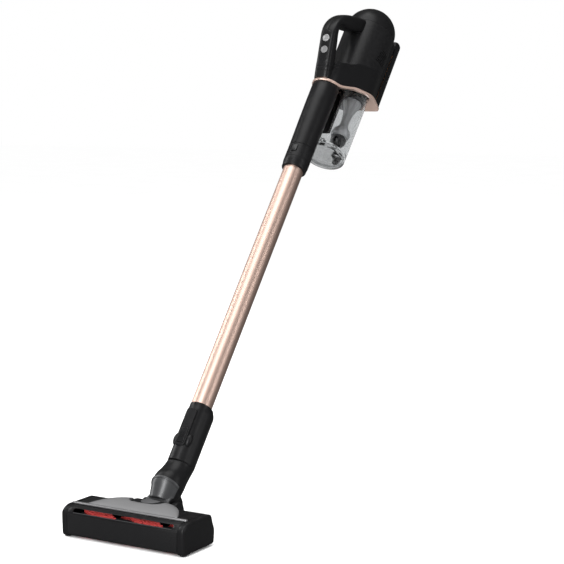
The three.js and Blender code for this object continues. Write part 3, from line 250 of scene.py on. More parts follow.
def curve_through(points, steps=8):
    """Smooth line through a few points, of any number of dimensions up to three."""
    size = len(points[0])
    place = [Vector((*p, *(0,) * (3 - size))) for p in points]
    line = []
    for i in range(len(place) - 1):
        before = place[max(i - 1, 0)]
        start, end = place[i], place[i + 1]
        after = place[min(i + 2, len(place) - 1)]
        handles = (start + (end - before) / 6, end - (after - start) / 6)
        line += [tuple(p[:size]) for p in interpolate_bezier(start, *handles, end, steps + 1)[:-1]]
    return line + [tuple(place[-1][:size])]


def round_rect(low, high, radius, steps=6):
    """Outline of a rectangle with round corners, between two opposite corners."""
    (x0, y0), (x1, y1) = low, high
    centres = [(x1 - radius, y1 - radius), (x0 + radius, y1 - radius),
               (x0 + radius, y0 + radius), (x1 - radius, y0 + radius)]
    outline = []
    for quarter, (x, y) in enumerate(centres):
        for i in range(steps + 1):
            angle = (quarter + i / steps) * math.pi / 2
            outline.append((x + radius * math.cos(angle), y + radius * math.sin(angle)))
    return outline


def around(circles, steps=96):
    """Outline that a string pulled round some circles (x, y, radius) would take."""
    cloud = []
    for x, y, radius in circles:
        for i in range(steps):
            angle = 2 * math.pi * i / steps
            cloud.append((x + radius * math.cos(angle), y + radius * math.sin(angle)))
    cloud.sort()

    def half(points):
        chain = []
        for p in points:
            while len(chain) > 1:
                (ax, ay), (bx, by) = chain[-2], chain[-1]
                if (bx - ax) * (p[1] - ay) - (by - ay) * (p[0] - ax) > 1e-7:
                    break
                chain.pop()
            chain.append(p)
        return chain[:-1]

    return half(cloud) + half(cloud[::-1])


def even(outline, count):
    """The same closed outline with evenly spaced points, starting at its first point."""
    points = [Vector(p) for p in outline]
    lengths = [(points[(i + 1) % len(points)] - points[i]).length for i in range(len(points))]
    total = sum(lengths)
    result = []
    i = 0
    walked = 0.0
    for k in range(count):
        target = total * k / count
        while walked + lengths[i] < target:
            walked += lengths[i]
            i += 1
        t = (target - walked) / max(lengths[i], 1e-9)
        result.append(tuple(points[i].lerp(points[(i + 1) % len(points)], t)))
    return result


def above(name, line, raise_by=0.0, half=90.0):
    """Everything above a line of (y, z) points, raised by some millimetres."""
    points = [(y, z + raise_by) for y, z in curve_through(line, 6)]
    return prism(name, points + [(points[-1][0], 1400), (points[0][0], 1400)], -half, half)


def rod(name, radius, low, high, centre=(0, 0), axis="Z", segments=96, edge=0.0):
    """A plain round bar, with its end edges broken."""
    profile = [(0, low), (radius - edge, low), (radius, low + edge), (radius, high - edge),
               (radius - edge, high), (0, high)]
    if not edge:
        profile = [(0, low), (radius, low), (radius, high), (0, high)]
    return lathe(name, profile, centre, axis, segments)


# ------------------------------------------------------------------ shader groups and materials

class Nodes:
    """Short names for adding and wiring shader nodes in one tree."""

    def __init__(self, tree):
        self.tree = tree

    def add(self, kind, **values):
        node = self.tree.nodes.new(kind)
        for key, value in values.items():
            setattr(node, key, value)
        return node

    def wire(self, source, target):
        self.tree.links.new(source, target)

    def math(self, operation, a, b):
        node = self.add("ShaderNodeMath", operation=operation)
        for socket, value in zip(node.inputs, (a, b)):
            if isinstance(value, (int, float)):
                socket.default_value = value
            else:
                self.wire(value, socket)
        return node.outputs[0]

    def reflected(self):
        """1 for rays that come off a shiny surface, 0 for rays that pass through clear plastic."""
        rays = self.add("ShaderNodeLightPath").outputs
        through = self.math("SUBTRACT", 1.0, rays["Is Transmission Ray"])
        return self.math("MULTIPLY", rays["Is Glossy Ray"], through)

    def noise(self, vector, scale, detail=2.0, roughness=0.5):
        node = self.add("ShaderNodeTexNoise")
        self.wire(vector, node.inputs["Vector"])
        if isinstance(scale, (int, float)):
            node.inputs["Scale"].default_value = scale
        else:
            self.wire(scale, node.inputs["Scale"])
        node.inputs["Detail"].default_value = detail
        node.inputs["Roughness"].default_value = roughness
        return node.outputs["Fac"]

    def spread(self, value, low, high, new_low=0.0, new_high=1.0):
        node = self.add("ShaderNodeMapRange")
        self.wire(value, node.inputs["Value"])
        for name, number in (("From Min", low), ("From Max", high), ("To Min", new_low),
                             ("To Max", new_high)):
            if isinstance(number, (int, float)):
                node.inputs[name].default_value = number
            else:
                self.wire(number, node.inputs[name])
        return node.outputs["Result"]

    def mix(self, factor, a, b):
        node = self.add("ShaderNodeMix", data_type="RGBA")
        for name, value in (("Factor", factor), ("A", a), ("B", b)):
            kind = "NodeSocketFloatFactor" if name == "Factor" else "NodeSocketColor"
            socket = next(s for s in node.inputs if s.name == name and s.bl_idname == kind)
            if hasattr(value, "links"):
                self.wire(value, socket)
            else:
                socket.default_value = value
        return next(s for s in node.outputs if s.bl_idname == "NodeSocketColor")


def shader_group(name, inputs, outputs):
    """An empty shader node group with named sockets, and its input and output nodes."""
    tree = bpy.data.node_groups.new(name, "ShaderNodeTree")
    for socket, kind, value in inputs:
        made = tree.interface.new_socket(name=socket, in_out="INPUT", socket_type=kind)
        made.default_value = value
    for socket, kind in outputs:
        tree.interface.new_socket(name=socket, in_out="OUTPUT", socket_type=kind)
    n = Nodes(tree)
    return tree, n, n.add("NodeGroupInput").outputs, n.add("NodeGroupOutput").inputs


def moulded_skin_group():
    """Fine spark-eroded grain of a moulding, with slow changes in its gloss and shade."""
    tree, n, given, out = shader_group(
        "Moulded Skin",
        [("Grain Scale", "NodeSocketFloat", 2200.0), ("Roughness", "NodeSocketFloat", 0.4),
         ("Gloss Change", "NodeSocketFloat", 0.08), ("Color", "NodeSocketColor", (0.02, 0.02, 0.02, 1)),
         ("Worn Color", "NodeSocketColor", (0.06, 0.06, 0.06, 1))],
        [("Color", "NodeSocketColor"), ("Roughness", "NodeSocketFloat"), ("Height", "NodeSocketFloat")])
    place = n.add("ShaderNodeTexCoord").outputs["Object"]
    grain = n.noise(place, given["Grain Scale"], 3.0, 0.6)
    n.wire(grain, out["Height"])
    slow = n.noise(place, 35.0, 3.0, 0.55)
    swing = n.math("MULTIPLY", n.math("SUBTRACT", slow, 0.5), given["Gloss Change"])
    fine = n.math("MULTIPLY", n.math("SUBTRACT", grain, 0.5), 0.06)
    n.wire(n.math("ADD", n.math("ADD", swing, fine), given["Roughness"]), out["Roughness"])
    edges = n.add("ShaderNodeNewGeometry").outputs["Pointiness"]
    worn = n.spread(edges, 0.6, 0.74, 0.0, 0.08)
    broken = n.math("MULTIPLY", worn, n.spread(n.noise(place, 160.0, 4.0, 0.6), 0.4, 0.62))
    n.wire(n.mix(broken, given["Color"], given["Worn Color"]), out["Color"])
    return tree


def dust_group():
    """Thin dust that lies on upward faces in soft patches: a mask from 0 to 1."""
    tree, n, given, out = shader_group(
        "Settled Dust", [("Amount", "NodeSocketFloat", 0.1)], [("Mask", "NodeSocketFloat")])
    place = n.add("ShaderNodeTexCoord").outputs["Object"]
    facing = n.add("ShaderNodeSeparateXYZ")
    n.wire(n.add("ShaderNodeNewGeometry").outputs["Normal"], facing.inputs[0])
    up = n.spread(facing.outputs["Z"], 0.3, 1.0)
    patches = n.spread(n.noise(place, 90.0, 5.0, 0.65), 0.42, 0.7)
    n.wire(n.math("MULTIPLY", n.math("MULTIPLY", up, patches), given["Amount"]), out["Mask"])
    return tree


def brushed_group():
    """Fine drawn lines along the stick, for metal: a height and a change in gloss."""
    tree, n, given, out = shader_group(
        "Drawn Lines", [("Lines", "NodeSocketFloat", 900.0), ("Roughness", "NodeSocketFloat", 0.3)],
        [("Height", "NodeSocketFloat"), ("Roughness", "NodeSocketFloat")])
    turn = n.add("ShaderNodeMapping")
    n.wire(n.add("ShaderNodeTexCoord").outputs["Object"], turn.inputs["Vector"])
    turn.inputs["Rotation"].default_value = (math.radians(LEAN), 0, 0)
    turn.inputs["Scale"].default_value = (1, 1, 0.02)
    lines = n.noise(turn.outputs["Vector"], given["Lines"], 3.0, 0.6)
    n.wire(lines, out["Height"])
    swing = n.math("MULTIPLY", n.math("SUBTRACT", lines, 0.5), 0.16)
    n.wire(n.math("ADD", swing, given["Roughness"]), out["Roughness"])
    return tree


def group_node(n, name, **values):
    """Places a shared shader group in a material and sets its inputs."""
    node = n.add("ShaderNodeGroup", node_tree=bpy.data.node_groups[name])
    for key, value in values.items():
        node.inputs[key.replace("_", " ").title()].default_value = value
    return node


def start_material(name):
    """A material with only its Principled shader and output, and the node helper."""
    material = bpy.data.materials.new(name)
    material.use_nodes = True
    n = Nodes(material.node_tree)
    shader = material.node_tree.nodes["Principled BSDF"]
    return material, n, shader


def bump_into(n, shader, height, depth, strength=1.0):
    bump = n.add("ShaderNodeBump")
    bump.inputs["Strength"].default_value = strength
    bump.inputs["Distance"].default_value = depth
    n.wire(height, bump.inputs["Height"])
    n.wire(bump.outputs["Normal"], shader.inputs["Normal"])


def linear(color):
    return (*color, 1.0)


def plastic(name, color, roughness, grain=0.00002, grain_scale=2200.0, dust=0.12, coat=0.0, metallic=0.0,
            specular=0.5, worn=None, change=0.08):
    """Moulded plastic: grain, uneven gloss, lightly worn edges and a breath of dust."""
    material, n, shader = start_material(name)
    lighter = worn or tuple(min(1.0, c * 2.2 + 0.02) for c in color)
    skin = group_node(n, "Moulded Skin", grain_scale=grain_scale, roughness=roughness,
                      gloss_change=change, color=linear(color), worn_color=linear(lighter))
    settled = group_node(n, "Settled Dust", amount=dust)
    n.wire(n.mix(settled.outputs["Mask"], skin.outputs["Color"], (0.3, 0.29, 0.28, 1.0)),
           shader.inputs["Base Color"])
    n.wire(n.math("ADD", skin.outputs["Roughness"], n.math("MULTIPLY", settled.outputs["Mask"], 0.5)),
           shader.inputs["Roughness"])
    bump_into(n, shader, skin.outputs["Height"], grain)
    shader.inputs["Metallic"].default_value = metallic
    shader.inputs["Coat Weight"].default_value = coat
    shader.inputs["Coat Roughness"].default_value = 0.12
    shader.inputs["Specular IOR Level"].default_value = specular
    return material


def drawn_metal(name, color, roughness, lines=900.0):
    """Anodised or bare metal with fine drawn lines."""
    material, n, shader = start_material(name)
    drawn = group_node(n, "Drawn Lines", lines=lines, roughness=roughness)
    skin = group_node(n, "Moulded Skin", grain_scale=1200.0, roughness=roughness, color=linear(color),
                      worn_color=linear(tuple(min(1.0, c * 1.15) for c in color)))
    n.wire(skin.outputs["Color"], shader.inputs["Base Color"])
    n.wire(drawn.outputs["Roughness"], shader.inputs["Roughness"])
    bump_into(n, shader, drawn.outputs["Height"], 0.00001)
    shader.inputs["Metallic"].default_value = 1.0
    return material


def clear_plastic(name, color, smooth=0.03, scuffed=0.14):
    """Clear, lightly smoked moulding with faint scuffs."""
    material, n, shader = start_material(name)
    place = n.add("ShaderNodeTexCoord").outputs["Object"]
    scuffs = n.spread(n.noise(place, 260.0, 6.0, 0.7), 0.56, 0.7, smooth, scuffed)
    n.wire(scuffs, shader.inputs["Roughness"])
    tint = n.noise(place, 60.0, 2.0, 0.5)
    n.wire(n.mix(n.spread(tint, 0.3, 0.7), linear(color), linear(tuple(c * 0.94 for c in color))),
           shader.inputs["Base Color"])
    bump_into(n, shader, n.noise(place, 45.0, 1.0, 0.5), 0.00001)
    shader.inputs["Transmission Weight"].default_value = 1.0
    shader.inputs["IOR"].default_value = 1.2
    return material


def pile(name, color):
    """Nylon bristles: strong colour change from tuft to tuft and a dull sheen."""
    material, n, shader = start_material(name)
    place = n.add("ShaderNodeTexCoord").outputs["Object"]
    tufts = n.noise(place, 420.0, 3.0, 0.6)
    darker = linear(tuple(c * 0.45 for c in color))
    lighter = linear(tuple(min(1.0, c * 1.25 + 0.03) for c in color))
    n.wire(n.mix(n.spread(tufts, 0.3, 0.7), darker, lighter), shader.inputs["Base Color"])
    n.wire(n.spread(tufts, 0.2, 0.8, 0.45, 0.7), shader.inputs["Roughness"])
    bump_into(n, shader, n.noise(place, 2600.0, 2.0, 0.5), 0.0001)
    shader.inputs["Sheen Weight"].default_value = 0.3
    return material


def felt(name, color):
    """Filter felt: fibres and a soft uneven colour."""
    material, n, shader = start_material(name)
    place = n.add("ShaderNodeTexCoord").outputs["Object"]
    fibres = n.noise(place, 1500.0, 6.0, 0.75)
    n.wire(n.mix(fibres, linear(tuple(c * 0.75 for c in color)), linear(color)), shader.inputs["Base Color"])
    n.wire(n.spread(fibres, 0.2, 0.8, 0.85, 0.98), shader.inputs["Roughness"])
    bump_into(n, shader, fibres, 0.0003)
    return material


def make_materials(looks):
    """Every finish of the machine, by its slot."""
    moulded_skin_group()
    dust_group()
    brushed_group()
    black = tuple(looks.black)
    silver = tuple(looks.silver)
    return {
        "satin_black": plastic("Satin Black", black, 0.36, dust=0.02, specular=0.22, change=0.04),
        "matt_black": plastic("Matt Black", tuple(c * 0.8 for c in black), 0.5, grain=0.00004, dust=0.02,
                              specular=0.22),
        "gloss_black": plastic("Gloss Black", black, 0.28, grain=0.000002, dust=0.0, coat=0.2,
                               specular=0.35, change=0.01),
        "dark_grey": plastic("Dark Grey", (0.022, 0.023, 0.025), 0.36, dust=0.03, specular=0.4),
        "neck_grey": plastic("Neck Grey", (0.045, 0.046, 0.048), 0.34, dust=0.04, metallic=0.35),
        "hump_grey": plastic("Hump Grey", (0.09, 0.091, 0.094), 0.36, grain=0.000008, dust=0.04,
                             metallic=0.35),
        # The vortex cone's own light grey, which also paints light on the vortex ball: the ball's lit top is
        # a light grey bulge at the cone's foot.
        "cone_grey_and_lit_ball_top": plastic("Cone Grey and Painted Ball Top Light", (0.3, 0.3, 0.305), 0.35, grain=0.000006, dust=0.0),
        "silver_grey": plastic("Silver Grey", silver, 0.34, grain=0.000008, grain_scale=5200.0, dust=0.08,
                               coat=0.4, metallic=0.55),
        "bar_silver": plastic("Bar Silver", tuple(c * 1.3 for c in silver), 0.3, grain=0.000006,
                              grain_scale=5200.0, dust=0.04, coat=0.3, metallic=0.8),
        "button_grey": plastic("Button Grey", tuple(c * 0.55 for c in silver), 0.34, grain=0.000006,
                               dust=0.02,
                               metallic=0.3),
        "rose_gold": drawn_metal("Rose Gold", tuple(looks.rose_gold), 0.44),
        "rose_trim": plastic("Rose Trim", tuple(looks.rose_gold), 0.3, grain=0.000006, grain_scale=5200.0,
                             dust=0.04, coat=0.3, metallic=0.75),
        "clear_smoke": clear_plastic("Clear Smoke", tuple(looks.smoke)),
        "flap_smoke": clear_plastic("Flap Smoke", tuple(c * 0.72 for c in looks.smoke), 0.16, 0.3),
        "red_bristle": pile("Red Bristle", tuple(looks.bristle)),
        "rubber": plastic("Rubber", (0.018, 0.018, 0.019), 0.75, grain=0.00006, dust=0.2, specular=0.3),
        "steel": drawn_metal("Steel", (0.62, 0.63, 0.65), 0.28, 1400.0),
        "motor_metal": drawn_metal("Motor Metal", (0.7, 0.71, 0.73), 0.38, 700.0),
        "filter": felt("Filter Felt", (0.8, 0.8, 0.76)),
        "board": plastic("Board Green", (0.03, 0.12, 0.06), 0.35, coat=0.4, dust=0.0),
        "cells": plastic("Cell Wrap", (0.28, 0.12, 0.05), 0.4, dust=0.0),
    }


LOOKS = {}


class Materials(bpy.types.Operator):
    """Builds the shared shader groups and every finish of the machine"""
    bl_idname = "vacuum.materials"
    bl_label = "Materials"

    def execute(self, context):
        LOOKS.update(make_materials(context.scene.vacuum_looks))
        return {"FINISHED"}


# ------------------------------------------------------------------ floor head

HEAD_HALF = 130.0
HEAD_DEPTH = 97.0
HEAD_TOP = 56.0
CAP_WIDTH = 14.0
INNER_HALF = HEAD_HALF - CAP_WIDTH - GAP
SOLE_Z = 4.5
BUMPER_TOP = 43.5
SLOT_HALF = 106.0
SLOT_LOW, SLOT_HIGH = 45.5, 52.5
BAR_Y, BAR_DEPTH, BAR_HEIGHT, BAR_HALF = 20.0, 7.0, 3.4, 121.0
PIVOT_Y, PIVOT_Z = 121.3, 41.0
SWING = 36.0
UPRIGHT_ROOM = 2.6               # clear space round the neck's skin when it stands upright
EAR_LOW, EAR_HIGH, EAR_RADIUS = 26.0, 38.0, 15.0
SADDLE_HALF, SADDLE_FRONT = 36.0, 61.0
WHEEL_Y, WHEEL_RADIUS, WHEEL_WIDTH = 136.0, 14.0, 10.0
GLIDE_X, GLIDE_Y, GLIDE_RADIUS, GLIDE_WIDTH = 95.0, 80.0, 6.8, 9.0


def head_outline(inset=0.0, bottom=7.5):
    """Side view of the head: upright front, round front top, flat top and sloping back."""
    top = HEAD_TOP - inset
    back = HEAD_DEPTH - inset
    front = inset
    nose = curve_through([(front + 0.4, 30), (front + 0.6, BUMPER_TOP - 1), (front + 2.5, top - 8.3),
                          (front + 9, top - 3.3), (front + 19, top), (front + 30, top)], 6)
    rear = curve_through([(back - 24, top), (back - 16, top), (back - 9.5, top - 3), (back - 5.5, 41),
                          (back - 1, 30), (back - 0.9, 20), (back - 2.5, 10)], 6)
    return [(front + 1.5, bottom), *nose, *rear, (back - 4, bottom)]


class HeadShell(bpy.types.Operator):
    """Builds the floor head's covers, bumper, end caps and bar"""
    bl_idname = "vacuum.head_shell"
    bl_label = "Floor Head Covers"

    def execute(self, context):
        outer = prism("head_shell", head_outline(0.0, SOLE_Z + 7), -INNER_HALF, INNER_HALF)
        inner = prism("t", head_outline(2.6, SOLE_Z), -INNER_HALF - 1, INNER_HALF + 1)
        front = block("t", (-140, -5, -5), (140, 16, BUMPER_TOP + GAP))
        window = prism("t", round_rect((-SLOT_HALF, SLOT_LOW), (SLOT_HALF, SLOT_HIGH), 3), -5, 17, "Y")
        swing = rod("t", EAR_RADIUS + 9, -40, 40, (PIVOT_Y, PIVOT_Z), "X")
        cut(outer, inner, front, window, swing)
        soften(outer, 0.5, 2, 40)
        finish_piece(outer, HEAD, LOOKS["satin_black"], "floor_head", ["head_cover"])

        bumper = prism("bumper", round_rect((0.4, SOLE_Z + 2.5), (2.9, BUMPER_TOP), 1.1), -INNER_HALF,
                       INNER_HALF)
        soften(bumper, 0.4, 2, 40)
        finish_piece(bumper, HEAD, LOOKS["gloss_black"], "floor_head", ["front_bumper"])
        sill = prism("window_sill", round_rect((1.3, 43.95), (5.2, 45.9), 0.9), -SLOT_HALF - 2, SLOT_HALF + 2)
        finish_piece(sill, HEAD, LOOKS["neck_grey"], "floor_head")
        bar = prism("silver_bar", round_rect((BAR_Y, HEAD_TOP + GAP),
                                             (BAR_Y + BAR_DEPTH, HEAD_TOP + GAP + BAR_HEIGHT),
                                             1.6), -BAR_HALF, BAR_HALF)
        soften(bar, 1.0, 3, 50)
        finish_piece(bar, HEAD, LOOKS["bar_silver"], "floor_head", ["top_bar"])
        for side, label in ((-1, "left"), (1, "right")):
            self.end_cap(side, label)
            low, high = sorted((side * (HEAD_HALF - 13), side * (HEAD_HALF - 3)))
            foot = prism(f"corner_foot_{label}", round_rect((low, 5), (high, 21), 3), 0.8, SOLE_Z - 0.1,
                         "Z", 0.6, 3)
            finish_piece(foot, HEAD, LOOKS["rubber"], "floor_head")
        return {"FINISHED"}

    def end_cap(self, side, label):
        inner = HEAD_HALF - CAP_WIDTH
        low, high = sorted((side * (inner - 20), side * HEAD_HALF))
        cap = prism(f"end_cap_{label}_skin", head_outline(0.0, SOLE_Z - 2), low, high)
        soften(cap, 5.0, 8, 50)
        low, high = sorted((side * (inner - 40), side * inner))
        groove_low, groove_high = sorted((side * (inner + 1.5), side * (inner + 2.1)))
        shell = [block("t", (low, -20, -20), (high, 140, 100)),
                 rod("t", 8.0 + GAP, *sorted((side * (inner - 1), side * (inner + 6))),
                     (ROLLER_Y, ROLLER_Z), "X")]
        ring = cut(block("t", (groove_low, -20, 12), (groove_high, 140, 100)),
                   prism("t", head_outline(0.5, -30), groove_low - 1, groove_high + 1))
        cut(cap, *shell, ring)
        soften(cap, 0.35, 2, 45)
        finish_piece(cap, HEAD, LOOKS["satin_black"], "floor_head", [f"end_cap_{label}"])


class HeadDome(bpy.types.Operator):
    """Builds the silver-grey cover behind the bar"""
    bl_idname = "vacuum.head_dome"
    bl_label = "Head Dome Cover"

    def execute(self, context):
        settings = context.scene.vacuum_head
        half = settings.dome_width / 2 / MM
        front, back = 30.0, 88.0
        side = curve_through([(half, front + 3), (half - 7, front + 17), (half - 21, back - 20),
                              (half - 38, back - 6), (half - 56, back)], 10)
        mirrored = [(-x, y) for x, y in reversed(side)]
        outline = [(3 - half, front), (half - 3, front), *side, (0, back), *mirrored]
        outline = even(outline, 180)
        base = HEAD_TOP + GAP
        rise = settings.dome_height / MM
        centre = Vector((0, 0.5 * (front + back)))
        shares = [1.0, 0.992, 0.975, 0.95, 0.92, 0.88, 0.82, 0.72, 0.58, 0.4, 0.2]
        bm = bmesh.new()
        bottom = [bm.verts.new((x, y, base)) for x, y in outline]
        rings = []
        for share in shares:
            ring = []
            for x, y in outline:
                p = centre.lerp(Vector((x, y)), share)
                reach = max(0.0, (p.y - front) / (back - front))
                crown = 1.6 + (rise - 1.6) * math.sin(min(1.0, 1.45 * reach) * math.pi / 2)
                height = crown * (1 - share ** 9) ** 0.42 + 0.6 * (share < 1)
                ring.append(bm.verts.new((p.x, p.y, base + height)))
            rings.append(ring)
        count = len(outline)
        levels = [bottom, *rings]
        for low, high in zip(levels, levels[1:]):
            for i in range(count):
                j = (i + 1) % count
                bm.faces.new((low[i], low[j], high[j], high[i]))
        bm.faces.new(bottom)
        bm.faces.new(rings[-1])
        dome = new_object("dome_skin", bm)
        notch = prism("t", round_rect((-SADDLE_HALF, SADDLE_FRONT), (SADDLE_HALF, 140), 19, 12), 50, 90, "Z")
        cut(dome, notch, rod("t", SWING, -SWING, SWING, (PIVOT_Y, PIVOT_Z), "X"))
        soften(dome, 0.4, 2, 60)
        finish_piece(dome, HEAD, LOOKS["silver_grey"], "floor_head", ["dome_cover"], 50)
        self.saddle(base)
        return {"FINISHED"}

    def saddle(self, base):
        """Black surround and grey hump that the neck's foot grows out of."""
        inset = SADDLE_HALF - GAP
        outline = round_rect((-inset, SADDLE_FRONT + GAP), (inset, HEAD_DEPTH + 4), 19, 12)
        collar = prism("neck_surround", outline, base, base + 5.4, "Z", 2.2, 5)
        hump = self.mound("neck_hump", (0, 90, base - 7), (28, 29, 16), base)
        for piece in (collar, hump):
            upright = neck_loft("t", UPRIGHT_ROOM)
            upright.data.transform(Matrix.Translation((0, PIVOT_Y, PIVOT_Z)))
            cut(piece, rod("t", SWING + GAP, -SWING - 4, SWING + 4, (PIVOT_Y, PIVOT_Z), "X"), upright)
        cut(collar, self.mound("t", (0, 90, base - 7), (28 + GAP, 29 + GAP, 16 + GAP), base - 1))
        soften(collar, 0.5, 2, 60)
        soften(hump, 0.5, 2, 60)
        finish_piece(collar, HEAD, LOOKS["satin_black"], "floor_head", sharp=50)
        finish_piece(hump, HEAD, LOOKS["hump_grey"], "floor_head", sharp=50)

    def mound(self, name, centre, radii, low):
        """The part of an ellipsoid above a height."""
        bm = bmesh.new()
        place = Matrix.Translation(centre) @ Matrix.Diagonal((*radii, 1))
        bmesh.ops.create_uvsphere(bm, u_segments=96, v_segments=64, radius=1, matrix=place)
        return cut(new_object(name, bm), block("t", (-60, 20, low - 60), (60, 160, low)))


class HeadRunningGear(bpy.types.Operator):
    """Builds the neck cradle, the wheels and the sole rollers"""
    bl_idname = "vacuum.head_running_gear"
    bl_label = "Cradle and Wheels"

    def execute(self, context):
        floor = block("cradle_skin", (-EAR_HIGH, HEAD_DEPTH - 8, 8.3), (EAR_HIGH, WHEEL_Y + 8, 10.9))
        for side in (-1, 1):
            low, high = sorted((side * EAR_LOW, side * EAR_HIGH))
            leg = around([(PIVOT_Y, PIVOT_Z, EAR_RADIUS), (WHEEL_Y + 4, 12.3, 4), (PIVOT_Y - 16, 12.3, 4)],
                         48)
            ear = soften(prism("t", leg, low, high), 2.0, 4, 60)
            pin = rod("t", 6.0, *sorted((side * (EAR_LOW - 8), side * (EAR_LOW + 1))), (PIVOT_Y, PIVOT_Z),
                      "X", 48)
            stub = rod("t", 3.0, *sorted((side * (EAR_HIGH - 1), side * (EAR_HIGH + 1 + WHEEL_WIDTH))),
                       (WHEEL_Y, WHEEL_RADIUS), "X", 48, 0.4)
            boss = rod("t", 9.0, *sorted((side * (EAR_HIGH - 3), side * (EAR_HIGH + 0.3))),
                       (PIVOT_Y, PIVOT_Z), "X", 64, 0.3)
            join(floor, ear, pin, stub, boss)
        finish_piece(floor, HEAD, LOOKS["satin_black"], "floor_head", ["neck_cradle"])
        for side, label in ((-1, "left"), (1, "right")):
            x = side * (EAR_HIGH + 0.6 + WHEEL_WIDTH / 2)
            self.wheel(f"wheel_{label}_tyre", x, WHEEL_Y, WHEEL_RADIUS, WHEEL_RADIUS - 0.1, WHEEL_WIDTH, 3.3,
                       f"wheel_{label}", f"rear_wheel_{label}")
            self.wheel(f"glide_{label}_tyre", side * GLIDE_X, GLIDE_Y, GLIDE_RADIUS + 0.2, GLIDE_RADIUS,
                       GLIDE_WIDTH,
                       1.9, f"glide_{label}", f"sole_roller_{label}")
        return {"FINISHED"}

    def wheel(self, name, x, y, z, radius, width, bore, body, node):
        """A small tyre with three grooves and a dished hub."""
        half = width / 2
        tread = []
        for k in range(-1, 2):
            middle = x + k * width * 0.22
            tread += [(radius, middle - 0.55), (radius - 0.5, middle - 0.3), (radius - 0.5, middle + 0.3),
                      (radius, middle + 0.55)]
        profile = [(bore, x - half), (radius * 0.55, x - half), (radius * 0.6, x - half + 0.8),
                   (radius * 0.78, x - half + 0.8), (radius * 0.82, x - half), (radius - 1.2, x - half),
                   (radius - 0.3, x - half + 0.4), (radius, x - half + 1.2), *tread, (radius, x + half - 1.2),
                   (radius - 0.3, x + half - 0.4), (radius - 1.2, x + half), (radius * 0.82, x + half),
                   (radius * 0.78, x + half - 0.8), (radius * 0.6, x + half - 0.8), (radius * 0.55, x + half),
                   (bore, x + half)]
        tyre = lathe(name, profile, (y, z), "X", 72)
        finish_piece(tyre, HEAD, LOOKS["rubber"], body, [node], 50)


class BrushRoller(bpy.types.Operator):
    """Builds the brush roller's core and its two wound rows of tufts"""
    bl_idname = "vacuum.brush_roller"
    bl_label = "Brush Roller"

    def execute(self, context):
        settings = context.scene.vacuum_brush
        core_radius = 15.0
        half = 106.0
        end = HEAD_HALF - CAP_WIDTH + 5
        core = lathe("roller_core", [
            (0, -end), (3.6, -end), (4, -end + 0.4), (4, -half - 6.5), (10, -half - 6.5), (10, -half - 1.5),
            (7, -half - 1.5), (7, -half), (core_radius - 0.5, -half), (core_radius, -half + 0.5),
            (core_radius, half - 0.5), (core_radius - 0.5, half), (4, half), (4, end - 0.4), (3.6, end),
            (0, end)],
            (ROLLER_Y, ROLLER_Z), "X", 72)
        finish_piece(core, HEAD, LOOKS["dark_grey"], "brush_roller", ["brush_core"])
        for start, label in ((45.0, "a"), (225.0, "b")):
            self.strip(settings, math.radians(start), label, core_radius, half - 3)
        return {"FINISHED"}

    def strip(self, settings, start, label, core_radius, half):
        """Tufts set in rows across a band that winds once round the core."""
        chance = random.Random(7)
        reach = settings.bristle_reach / MM
        band = math.radians(110.0)
        along, across = settings.tuft_columns, settings.tuft_rows
        bm = bmesh.new()
        sides = 6
        for i in range(along):
            x = 2 * half * (i / (along - 1) - 0.5) * 0.985
            middle = start + 2 * math.pi * (i / (along - 1))
            for k in range(across):
                angle = middle + band * ((k + 0.5 * (i % 2)) / across - 0.5) * 0.94
                lean = chance.uniform(-0.05, 0.05)
                height = reach - chance.uniform(0.0, 1.0)
                for radius, width, swing in ((core_radius + 0.2, 1.05, 0.0), (height, 1.5, lean)):
                    ring = []
                    for s in range(sides):
                        t = 2 * math.pi * s / sides
                        turn = angle + swing + width * math.sin(t) / radius
                        ring.append(bm.verts.new((x + width * math.cos(t), ROLLER_Y + radius * math.cos(turn),
                                                  ROLLER_Z + radius * math.sin(turn))))
                    bm.faces.new(ring)
                    if width > 1.2:
                        for s in range(sides):
                            j = (s + 1) % sides
                            bm.faces.new((base_ring[s], base_ring[j], ring[j], ring[s]))
                    base_ring = ring
        tufts = new_object(f"bristle_tufts_{label}", bm)
        finish_piece(tufts, HEAD, LOOKS["red_bristle"], "brush_roller", [f"bristle_strip_{label}"],
                     40)


# ------------------------------------------------------------------ neck and wand

BARREL_NECK_RADIUS, NECK_HALF = 22.5, 25.0
KNUCKLE = (8.0, 10.0, 22.0)      # y, z and radius of the fuller part behind the pivot
ELBOW_TOP = 88.0
NECK_ROWS = [(8, 24.5, -6), (17.5, 25.8, -6), (27, 27.5, -6.2), (41, 29.6, -7), (55, 29, -5),
             (67, 27.2, 0), (79, 26, 4.5), (ELBOW_TOP - GAP, 25.8, 7)]
FRONT_TOP = 47.0
SWIVEL_Y = 4.0
SLEEVE_RADIUS, SLEEVE_REACH = 21.0, 14.0
WAND_RADIUS, WAND_WALL, WAND_BOTTOM, WAND_TOP = 20.0, 1.6, 152.0, 762.0
CONNECTOR_TOP = 204.0
CONNECTOR_BACK = (8.0, 25.2)     # y and radius of the connector's full back
CONNECTOR_FRONT = 21.8


def neck_loft(name, extra=0.0):
    """The neck above its pivot: round sections whose middle drifts forward, then back."""
    rows = curve_through([(z, r, y) for z, r, y in NECK_ROWS], 5)
    return loft(name, [[((r + extra) * math.cos(t), y + (r + extra) * math.sin(t), z)
                        for t in (2 * math.pi * i / 96 for i in range(96))] for z, r, y in rows])


def melt(obj, voxel, rounds):
    """Remeshes a joined solid finely and relaxes it, so that its parts flow into each other."""
    modifier = obj.modifiers.new("remesh", "REMESH")
    modifier.mode = "VOXEL"
    modifier.voxel_size = voxel
    relax = obj.modifiers.new("relax", "SMOOTH")
    relax.iterations = rounds
    relax.factor = 0.5
    return settle(obj)


